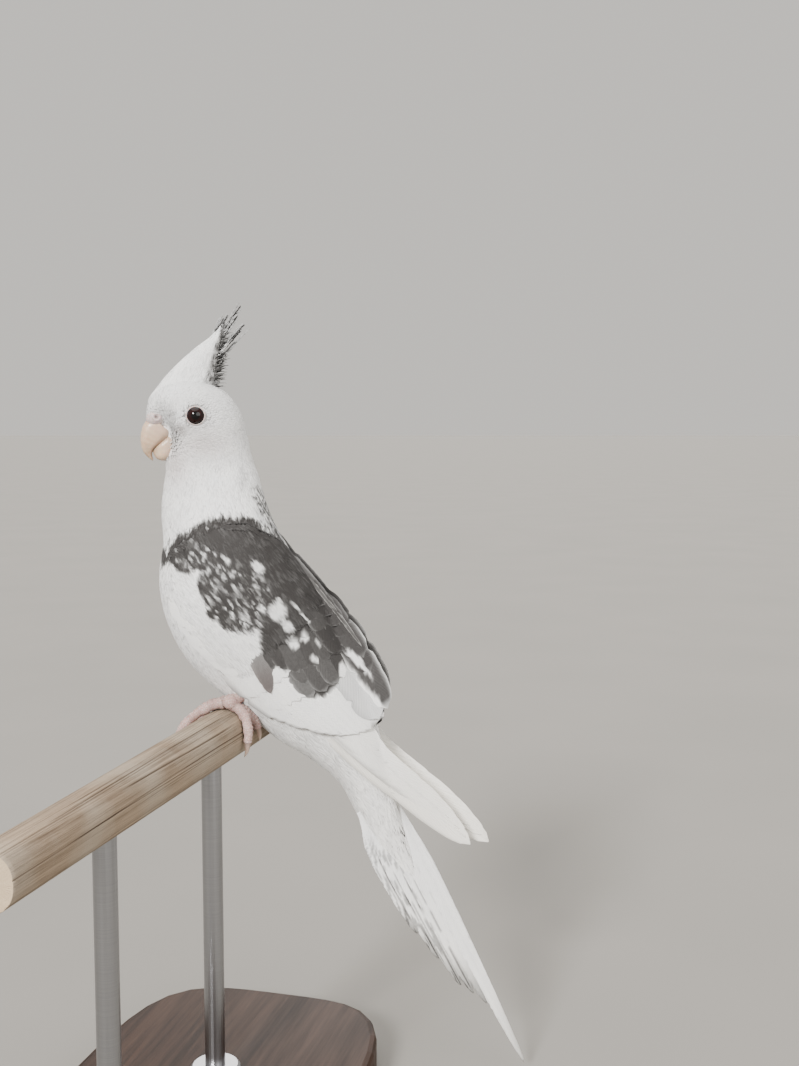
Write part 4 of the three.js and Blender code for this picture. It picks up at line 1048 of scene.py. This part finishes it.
def wisps(random):
    """The loose strands behind the crest, each a shaft with pairs of barbs, and the fringe under them."""
    shafts, blades = ([], []), ([], [])

    def blade(here, ahead, up, reach, curl, halves, tones):
        points = [here + ahead * reach * s + curl * s * s for s in (0, 0.35, 0.7, 1.0)]
        beside = unit(np.cross(up, ahead))
        blades[0].append([[p - beside * h, p + beside * h, p + up * 0.08] for p, h in zip(points, halves)])
        blades[1].append(tones)

    t = np.linspace(0, 1, STRAND_RINGS)
    radius = np.interp(t, [0, 0.6, 1], [0.3, 0.26, 0.07])[:, None]
    for i in range(STRANDS):
        tip_x, tip_z = STRAND_TIPS[i // 4] + random.normal(0, 0.45, 2) * (i % 4)
        y, share = random.uniform(-1.5, 1.5), i / (STRANDS - 1)
        root, tip = np.array([mix(-13, -9, share), y, mix(138, 132, share)]), np.array([tip_x, y * 0.4, tip_z])
        middle = (root + tip) / 2 + mix(np.array([0.4, 0, -0.6]), np.array([-0.8, 0, 0.9]), smooth(i / 10))
        path = turn_head(bent(root, middle, tip, t))
        run = unit(np.gradient(path, axis=0))
        flat = unit(stacked(-run[:, 2], 0.25 * random.normal(), run[:, 0])) * (-1, 1, -1)
        up = unit(np.cross(flat, run))
        streak = smooth((t - 0.5) / 0.14) * (0.95 if i % 4 < 2 else 0.45)
        shafts[0].append(np.stack([path + flat * radius, path - flat * radius, path + up * radius], 1))
        shafts[1].append(streak)
        for k in range(BARB_PAIRS):
            at = 0.1 + 0.86 * (k + random.uniform(0, 1)) / BARB_PAIRS
            ring = at * (STRAND_RINGS - 1)
            low = int(ring)
            for way in (-1, 1):
                reach = 3.4 * (1 - 0.65 * at) * random.uniform(0.8, 1.2)
                lean = 0.17 + 0.05 * random.normal()
                ahead = unit(run[low] * math.cos(lean) + way * flat[low] * math.sin(lean))
                curl = np.array([random.normal() * 0.08, random.normal() * 0.1, -0.05])
                tones = streak[low] * random.uniform(0.75, 1.0) * np.array([1, 1, 0.8, 0.35])
                here = mix(path[low], path[low + 1], ring - low)
                blade(here, ahead, up[low], reach, curl, (0.2, 0.2, 0.15, 0.05), tones)
    for _ in range(FRINGE):
        z = random.uniform(CREST_FROM, CREST_TO)
        share = (z - CREST_FROM) / (CREST_TO - CREST_FROM)
        x = crest_rear(z) - random.uniform(-0.4, 3.4)
        here = turn_head(np.array([x, random.uniform(-1, 1) * mix(3.2, 1.0, share), z]))
        ahead = unit(np.array([1.0, 0.22 * random.normal(), mix(0.12, 0.95, share**1.3) + 0.16 * random.normal()]))
        reach = mix(4.6, 7.2, smooth(share * 2)) * random.uniform(0.45, 1.0) * mix(1, 0.7, share)
        curl = np.array([0, 0.4 * random.normal(), random.uniform(-0.9, 0.3)])
        tones = random.uniform(0.55, 1.0) * np.array([0.35, 1, 1, 0.8])
        blade(here, ahead, np.array([0, 1.0, 0]), reach, curl, (0.17, 0.15, 0.1, 0.03), tones)
    made = []
    for rings, tone in ((np.array(k), np.array(j)[..., None]) for k, j in (shafts, blades)):
        vane = stacked(0.3, np.linspace(0, 1, rings.shape[1])[:, None], tone, np.ones(3))
        patch = stacked(0.3 + (rings[:, :1, :1, 0] + 30) / 60, 0.5 + rings[:, :1, :1, 1] / 30)
        made.append((rings, stacked(tone, 0.05, 0.0, np.zeros(3)), vane, patch + 0.003 * (vane[..., :2] - 0.5)))
    return made


CORE_RINGS, CORE_SIDES = 60, 40
core_t = np.linspace(0, 1, CORE_RINGS)[:, None]
core = crest_at(core_t, circle(CORE_SIDES), -0.9 * (1 - 0.7 * core_t))
bed("crest_core", core, crest_paint, stacked(core_t * 0.9 + 0.05, np.linspace(0.05, 0.95, CORE_SIDES)))
t, turn = roots(crest_at, crest_length, 0.03, 0.9, 0.17, 0.17, 82)
start = crest_at(t, turn, -0.9)
heading = crest_at(np.minimum(t + 0.03, 1), turn, -0.9) - start
tufts("crest_coat", surface_tree(core), start, heading, crest_length(t), mix(0.9, 0.3, t), crest_paint,
      stacked(t * 0.9 + 0.05, turn / 7 + 0.05), coat_finish, 83, 0.1, wide=0.7)
wisp_finish = plumage("Crest wisps", 3.0, 0.2, 0.0, 0.2, 0.00003, 0.7, 0.1, (0.012, 0.011, 0.011, 1),
                      Specular_IOR_Level=0.2)
tubes("crest_wisps", wisps(np.random.default_rng(80)), wisp_finish, "plumage")

# Bill: two horn sheaths over bone, the upper one hooked down over the short lower one. The horn is a pinkish
# beige, with faint growth lines across it, worn paler and smoother in patches, and darker towards the tip.
UPPER_BILL = np.array([
    (-32.5, 117, -24, 110, 4.6), (-35.3, 114, -25.5, 108.4, 4.8), (-36.5, 110.4, -27.6, 106.6, 4.5),
    (-36.6, 106.6, -29.8, 105.2, 3.7), (-35.8, 103.2, -31.6, 103.8, 2.5), (-34.1, 100.8, -32.3, 101.8, 1.3),
    (-32.2, 99.1, -31.8, 99.7, 0.35),
])
LOWER_BILL = np.array([
    (-24, 110.2, -24.6, 100.3, 4.1), (-26.9, 108.5, -27.2, 99.2, 4.2), (-29.4, 106.2, -29.4, 99.5, 3.5),
    (-31.1, 104.2, -30.9, 100.6, 2.3), (-32, 103.2, -31.8, 102.1, 1),
])
BILL_RINGS, BILL_SIDES = 48, 48


def horn_lines(tree):
    return cloud(tree, 330.0, 4.0, Distortion=1.2)


def horn_colour(tree):
    tipward, edge, _ = marks_of(tree)
    horn = ramp(tree, tipward, (0.0, (0.46, 0.33, 0.25)), (0.45, (0.52, 0.37, 0.25)), (1.0, (0.34, 0.22, 0.14)))
    worn = blended(tree, ramp(tree, horn_lines(tree), (0.45, 0.0), (0.72, 0.4)), horn, (0.62, 0.48, 0.35))
    return blended(tree, edge, worn, (0.12, 0.06, 0.045))


def marked(rings, *marks):
    """Some rings with their paint."""
    return rings, stacked(*marks, *[0.0] * (4 - len(marks)), np.zeros(rings.shape[:2]))[..., :4]


horn_finish = finish_of("Bill horn", horn_colour, (horn_lines, (0.3, 0.4), (0.7, 0.27)), (horn_lines, 0.00006, 0.6),
                        Subsurface_Weight=0.15, Subsurface_Scale=0.0015)
t, angle = np.linspace(0, 1, BILL_RINGS)[:, None], circle(BILL_SIDES)
# The sheaths are rather square in section, so that their edges meet along the mouth, and darker there.
growth = -0.05 + 0.035 * np.sin(t * 55 + np.cos(angle)) * smooth(t * 3) * smooth((1 - t) * 4)
growth = growth + 0.6 * np.sin(2 * angle) ** 2 * smooth((1 - t) * 2.5) * smooth(t * 5 + 0.3)
for word, table, mouth in (("upper", UPPER_BILL, np.abs(angle - np.pi) < 1.0),
                           ("lower", LOWER_BILL, np.minimum(angle, 2 * np.pi - angle) < 0.8)):
    rings = body_at(t, angle, growth, table[:, [0, 4, 1]], table[:, 2:4])
    edge = 0.35 * mouth * smooth((t - 0.1) * 4) * (1 - smooth((t - 0.7) * 4))
    bill = tubes(f"bill_sheath_{word}", [marked(rings, t, edge)], horn_finish, "bill")
    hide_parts(f"bill_{word}")

# Cere: two soft swollen mounds of bare pinkish skin over the bill's root, with a round nostril in each. Small
# feathers stand round their foot.
CERE, CERE_RADII = np.array([-30.6, 2.5, 116.0]), np.array([3.7, 3.0, 3.1])
NOSTRIL, NOSTRIL_RADIUS = np.array([-29.9, 6.2, 116.8]), 0.9


def soft_skin(tree):
    tone = ramp(tree, cloud(tree, 900.0, 3.0), (0.35, (0.4, 0.325, 0.31)), (0.65, (0.52, 0.44, 0.42)))
    # The first mark paints the nostrils dark, as painted shade in their openings.
    return blended(tree, marks_of(tree)[0], tone, (0.1, 0.045, 0.04))


def skin_pores(tree):
    return node(tree, "TexVoronoi", {"Vector": place(tree), "Scale": 2200.0})


def ball(rings, sides, hole):
    """How far down from the pole of a ball its rings are, and the ways out from its middle."""
    down, turn = np.linspace(hole, np.pi - hole, rings)[:, None], circle(sides)
    return down, stacked(np.cos(down), np.sin(down) * np.cos(turn), np.sin(down) * np.sin(turn))


dry_sheen = (lambda tree: cloud(tree, 420.0), (0.3, 0.6), (0.7, 0.42))
skin_finish = finish_of("Soft bare skin", soft_skin, dry_sheen, (skin_pores, 0.00008, 0.6), Subsurface_Weight=0.15,
                        Subsurface_Scale=0.0015)
mounds = []
way = ball(44, 60, 0.02)[1][..., [1, 2, 0]]
for side, _ in BOTH_SIDES:
    middle, hole = turn_head(CERE * (1, side, 1)), turn_head(NOSTRIL * (1, side, 1))
    points = middle + way * CERE_RADII
    off = np.linalg.norm(points - middle - unit(hole - middle) * CERE_RADII, axis=-1)
    press = -1.1 * smooth(1.35 - off / NOSTRIL_RADIUS) + 0.28 * np.exp(-(((off - 1.35) / 0.4) ** 2))
    # Each nostril is a shallow dent, painted dark inside as painted shade for its opening.
    mounds.append(marked(points + way * press[..., None], smooth(1.2 - off / NOSTRIL_RADIUS) * 0.95))
tubes("cere_mounds", mounds, skin_finish, "bill")

# Eyes and lids: eyes of glass, nearly black with a dark red iris round a wide pupil, each set in a narrow ring
# of pale beaded skin that closes on it.
PUPIL, IRIS, LID_RADIUS, BEAD = 1.75, 2.6, 3.66, 0.3


def eye_colour(tree):
    iris = ramp(tree, cloud(tree, 1500.0, 3.0), (0.35, (0.005, 0.0009, 0.0008)), (0.65, (0.017, 0.003, 0.0026)))
    return blended(tree, marks_of(tree)[0], iris, (0.0012, 0.001, 0.001))


eye_finish = finish_of("Glass eye", eye_colour, (lambda tree: cloud(tree, 600.0), (0.3, 0.06), (0.7, 0.03)),
                       Specular_IOR_Level=0.3)
down, way = ball(60, 64, 0.012)
off_pupil = np.where(down < 1.57, EYE_RADIUS * np.sin(down), 9)
dark = np.maximum(smooth((PUPIL - off_pupil) / 0.25), smooth((off_pupil - IRIS) / 0.5))
bulge = EYE_RADIUS * (1 + 0.05 * np.exp(-((down / 0.6) ** 2)))
around, turn = circle(120)[:, None], circle(16)
beads = BEAD * (1 + 0.1 * np.abs(np.sin(around * 20)) + 0.05 * np.sin(turn * 3 + around * 7))
reach = LID_RADIUS + beads * np.cos(turn)
ring = stacked(beads * np.sin(turn) + 0.12 * np.cos(2 * around), reach * np.cos(around),
               reach * np.sin(around) * 0.97)
index = np.arange(around.size * turn.size).reshape(around.size, turn.size)
corners = (index, np.roll(index, -1, 1), np.roll(np.roll(index, -1, 0), -1, 1), np.roll(index, -1, 0))
for side, word in BOTH_SIDES:
    axis = unit(OUTWARD[side])
    lift = unit(np.cross(axis, (0, 0, 1.0)))
    axes = np.array([axis, lift, np.cross(axis, lift)])
    globe = EYES[side] + (way * bulge[..., None]) @ axes
    eye = tubes(f"eye_glass_{word}", [marked(globe, dark)], eye_finish, "eye")
    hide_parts(f"eye_{word}")
    lid, paint = marked(RIMS[side] - axis * 0.4 + ring @ axes, 0.0)
    mesh_piece(f"eyelid_{word}", lid, [stacked(*corners).reshape(-1, 4)], skin_finish, "foot_skin", paint)

# Feet: bare pink feet that grip the perch, two toes to the front and two to the back on each. The toes have
# broad scutes along the top, pebbled scales on their sides and soft pads where they press on the wood.
FOOT_Y, TOE_RADIUS, TOE_TIP, ANKLE = 13.0, 2.0, 0.06, (17, 11.5, 14.0)
# Each toe's start and end round the perch in degrees, and how far it spreads inwards along it.
TOES = {"1": (20, 84, 6), "2": (2, -88, 5), "3": (-2, -84, -17), "4": (22, 100, -5)}


def on_perch(turn, along, height):
    reach, angle = PERCH_RADIUS + height, np.radians(turn)
    return across_perch(np.sin(angle) * reach, along, np.cos(angle) * reach - PERCH_RADIUS)


def tube(path, away, radius, shape, sides=18):
    """Rings round a path. away points out from its top side, and shape(t, angle) swells the rings."""
    t, angle = np.linspace(0, 1, len(path))[:, None], circle(sides)
    run = unit(np.gradient(path, axis=0))
    out = flat_on(np.broadcast_to(away, path.shape), run)
    reach = (radius[:, None] * (1 + shape(t, angle)))[..., None]
    round_it = np.cos(angle)[:, None] * out[:, None], np.sin(angle)[:, None] * np.cross(run, out)[:, None]
    return path[:, None] + reach * round_it[0] + reach * round_it[1]


def scaled(t, angle):
    top = np.clip(np.cos(angle), 0, 1) ** 0.5
    scutes = (t * 13) % 1
    lip = 0.16 * smooth(scutes / 0.75) * (1 - smooth((scutes - 0.86) / 0.14))
    pebbles = 0.05 * np.sin(t * 150) * np.sin(angle * 9)
    pads = 0.12 * np.clip(-np.cos(angle), 0, 1) * np.cos(t * 6 * np.pi) ** 2
    return top * lip + (1 - top) * pebbles + pads


def toe_path(name, side, t):
    start, stop, spread = TOES[name]
    k = np.linspace(0, 1, 6)
    along = side * (FOOT_Y - spread * smooth(k))
    return through(on_perch(mix(start, stop, k), along, 0.25 + TOE_RADIUS * mix(1.12, 0.86, k)), t)


def foot_scales(tree):
    return node(tree, "TexVoronoi", {"Vector": place(tree), "Scale": 1300.0}, feature="DISTANCE_TO_EDGE")


def foot_colour(tree):
    tone = ramp(tree, cloud(tree, 260.0, 3.0), (0.35, (0.37, 0.25, 0.228)), (0.65, (0.48, 0.36, 0.33)))
    return blended(tree, ramp(tree, foot_scales(tree), (0.0, 0.9), (0.16, 0.0)), tone, (0.26, 0.15, 0.13))


foot_relief = (lambda tree: ramp(tree, foot_scales(tree), (0.0, 0.0), (0.25, 1.0)), 0.00012, 0.8)
foot_finish = finish_of("Scaled foot skin", foot_colour, dry_sheen, foot_relief, Subsurface_Weight=0.12,
                        Subsurface_Scale=0.002, Specular_IOR_Level=0.35)
t = np.concatenate([np.linspace(0, 1 - TOE_TIP, 60), 1 - TOE_TIP + TOE_TIP * np.sin(np.linspace(0.15, 1.57, 8))])
closing = np.sqrt(1 - np.clip((t - 1 + TOE_TIP) / TOE_TIP, 0, 0.999) ** 2)
toe_radius = TOE_RADIUS * mix(1.1, 0.76, t) * (1 + 0.07 * np.cos(t * 6 * np.pi)) * closing
shank_t, arc = np.linspace(0, 1, 30), np.linspace(-1.5, 1.5, 16)
for side, word in BOTH_SIDES:
    parts = []
    for name in TOES:
        path = toe_path(name, side, t)
        parts.append(tube(path, unit(from_perch(path)), toe_radius, scaled))
    pad, ankle = on_perch(14, side * FOOT_Y, 3.4), np.array(ANKLE) * (1, side, 1)
    shank = mix(pad - (ankle - pad) * 0.1, ankle, shank_t[:, None])
    parts.append(tube(shank, (-1.0, 0, 0.3), mix(2.6, 2.3, shank_t), scaled))
    ball_path = pad + (0, side * 0.6, 0.2) + stacked(np.sin(arc) * 3.4, 0.0, 0.0)
    parts.append(tube(ball_path, (0, 0, 1.0), 3.0 * np.cos(arc) + 0.05, scaled))
    foot = tubes(f"foot_{word}", [(part,) for part in parts], foot_finish, "foot_skin")
    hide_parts(f"leg_{word}")

# Claws: curved claws of pale horn, one at the end of each toe. They are greyer at the root and worn to blunt
# points on the wood.
CLAW_LENGTH, CLAW_RINGS = 6.0, 22


def claw_colour(tree):
    stops = (0.0, (0.2, 0.14, 0.12)), (0.45, (0.4, 0.29, 0.23)), (1.0, (0.56, 0.45, 0.36))
    streaks = maths(tree, "MULTIPLY", cloud(tree, 700.0, 3.0), 0.35)
    return blended(tree, streaks, ramp(tree, marks_of(tree)[0], *stops), (0.24, 0.17, 0.14))


claw_finish = finish_of("Claw horn", claw_colour, (lambda tree: cloud(tree, 500.0), (0.3, 0.42), (0.7, 0.28)),
                        (lambda tree: cloud(tree, 900.0), 0.00004, 0.5), Subsurface_Weight=0.1,
                        Subsurface_Scale=0.001)
t = np.linspace(0, 1, CLAW_RINGS)
for side, word in BOTH_SIDES:
    for name in TOES:
        end, before = toe_path(name, side, np.array([1.0, 0.97]))
        ahead, out = unit(end - before), unit(from_perch(end))
        path = bent(end - ahead * 0.9, end + ahead * CLAW_LENGTH * 0.5 + out * 0.6,
                    end + ahead * CLAW_LENGTH * 0.86 - out * 0.5, t)
        rings = tube(path, out, mix(1.22, 0.16, t**1.25), lambda t, angle: 0.1 * np.cos(angle) ** 2, 14)
        claw = tubes(f"talon_{word}_{name}", [marked(rings, t[:, None])], claw_finish, "claw")
        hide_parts(f"claw_{word}_{name}")

# Floor, light and camera: a plain pale studio floor under wide soft lamps. The camera stands level with the
# bird's breast, at its left side, as the photograph was taken.
FLOOR_HALF = 60


def floor_colour(tree):
    return ramp(tree, cloud(tree, 6.0), (0.3, (0.2, 0.19, 0.172)), (0.7, (0.212, 0.2, 0.182)))


def stand_in_scene(name, data):
    made = bpy.data.objects.new(name, data)
    bpy.context.scene.collection.objects.link(made)
    return made


floor_mesh = bpy.data.meshes.new("floor")
floor_mesh.from_pydata([(x * FLOOR_HALF, y * FLOOR_HALF, 0) for x, y in ((-1, -1), (1, -1), (1, 1), (-1, 1))], [],
                       [(0, 1, 2, 3)])
floor_mesh.materials.append(finish_of("Pale floor", floor_colour, 0.9))
stand_in_scene("floor", floor_mesh)

# Which way each lamp shines, how wide it is and how bright: key, fill, rim and top.
LAMPS = [((0.42, 0.78, -0.5), 14, 6.4), ((-0.62, 0.7, -0.3), 50, 2.2), ((-0.1, -0.8, -0.6), 40, 2.0),
         ((0.1, 0, -1), 60, 1.8)]
for i, (way, width, power) in enumerate(LAMPS):
    lamp = bpy.data.lights.new(f"lamp_{i + 1}", "SUN")
    lamp.angle, lamp.energy, lamp.color = math.radians(width), power, (1.0, 0.985, 0.965)
    stand_in_scene(f"lamp_{i + 1}", lamp).rotation_euler = Vector(way).to_track_quat("-Z", "Y").to_euler()
world = bpy.data.worlds.new("studio")
bpy.context.scene.world = world
world.use_nodes = True
sky = world.node_tree.nodes["Background"].inputs
sky["Color"].default_value, sky["Strength"].default_value = (0.72, 0.695, 0.655, 1), 1.06

camera = bpy.data.cameras.new("camera")
camera.lens, camera.clip_start = 40.525, 0.01
viewpoint = stand_in_scene("camera", camera)
viewpoint.location = (0.05456, -0.48788, 0.27143)
viewpoint.rotation_euler = (math.radians(85.1), 0, math.radians(-1.5))
bpy.context.scene.camera = viewpoint
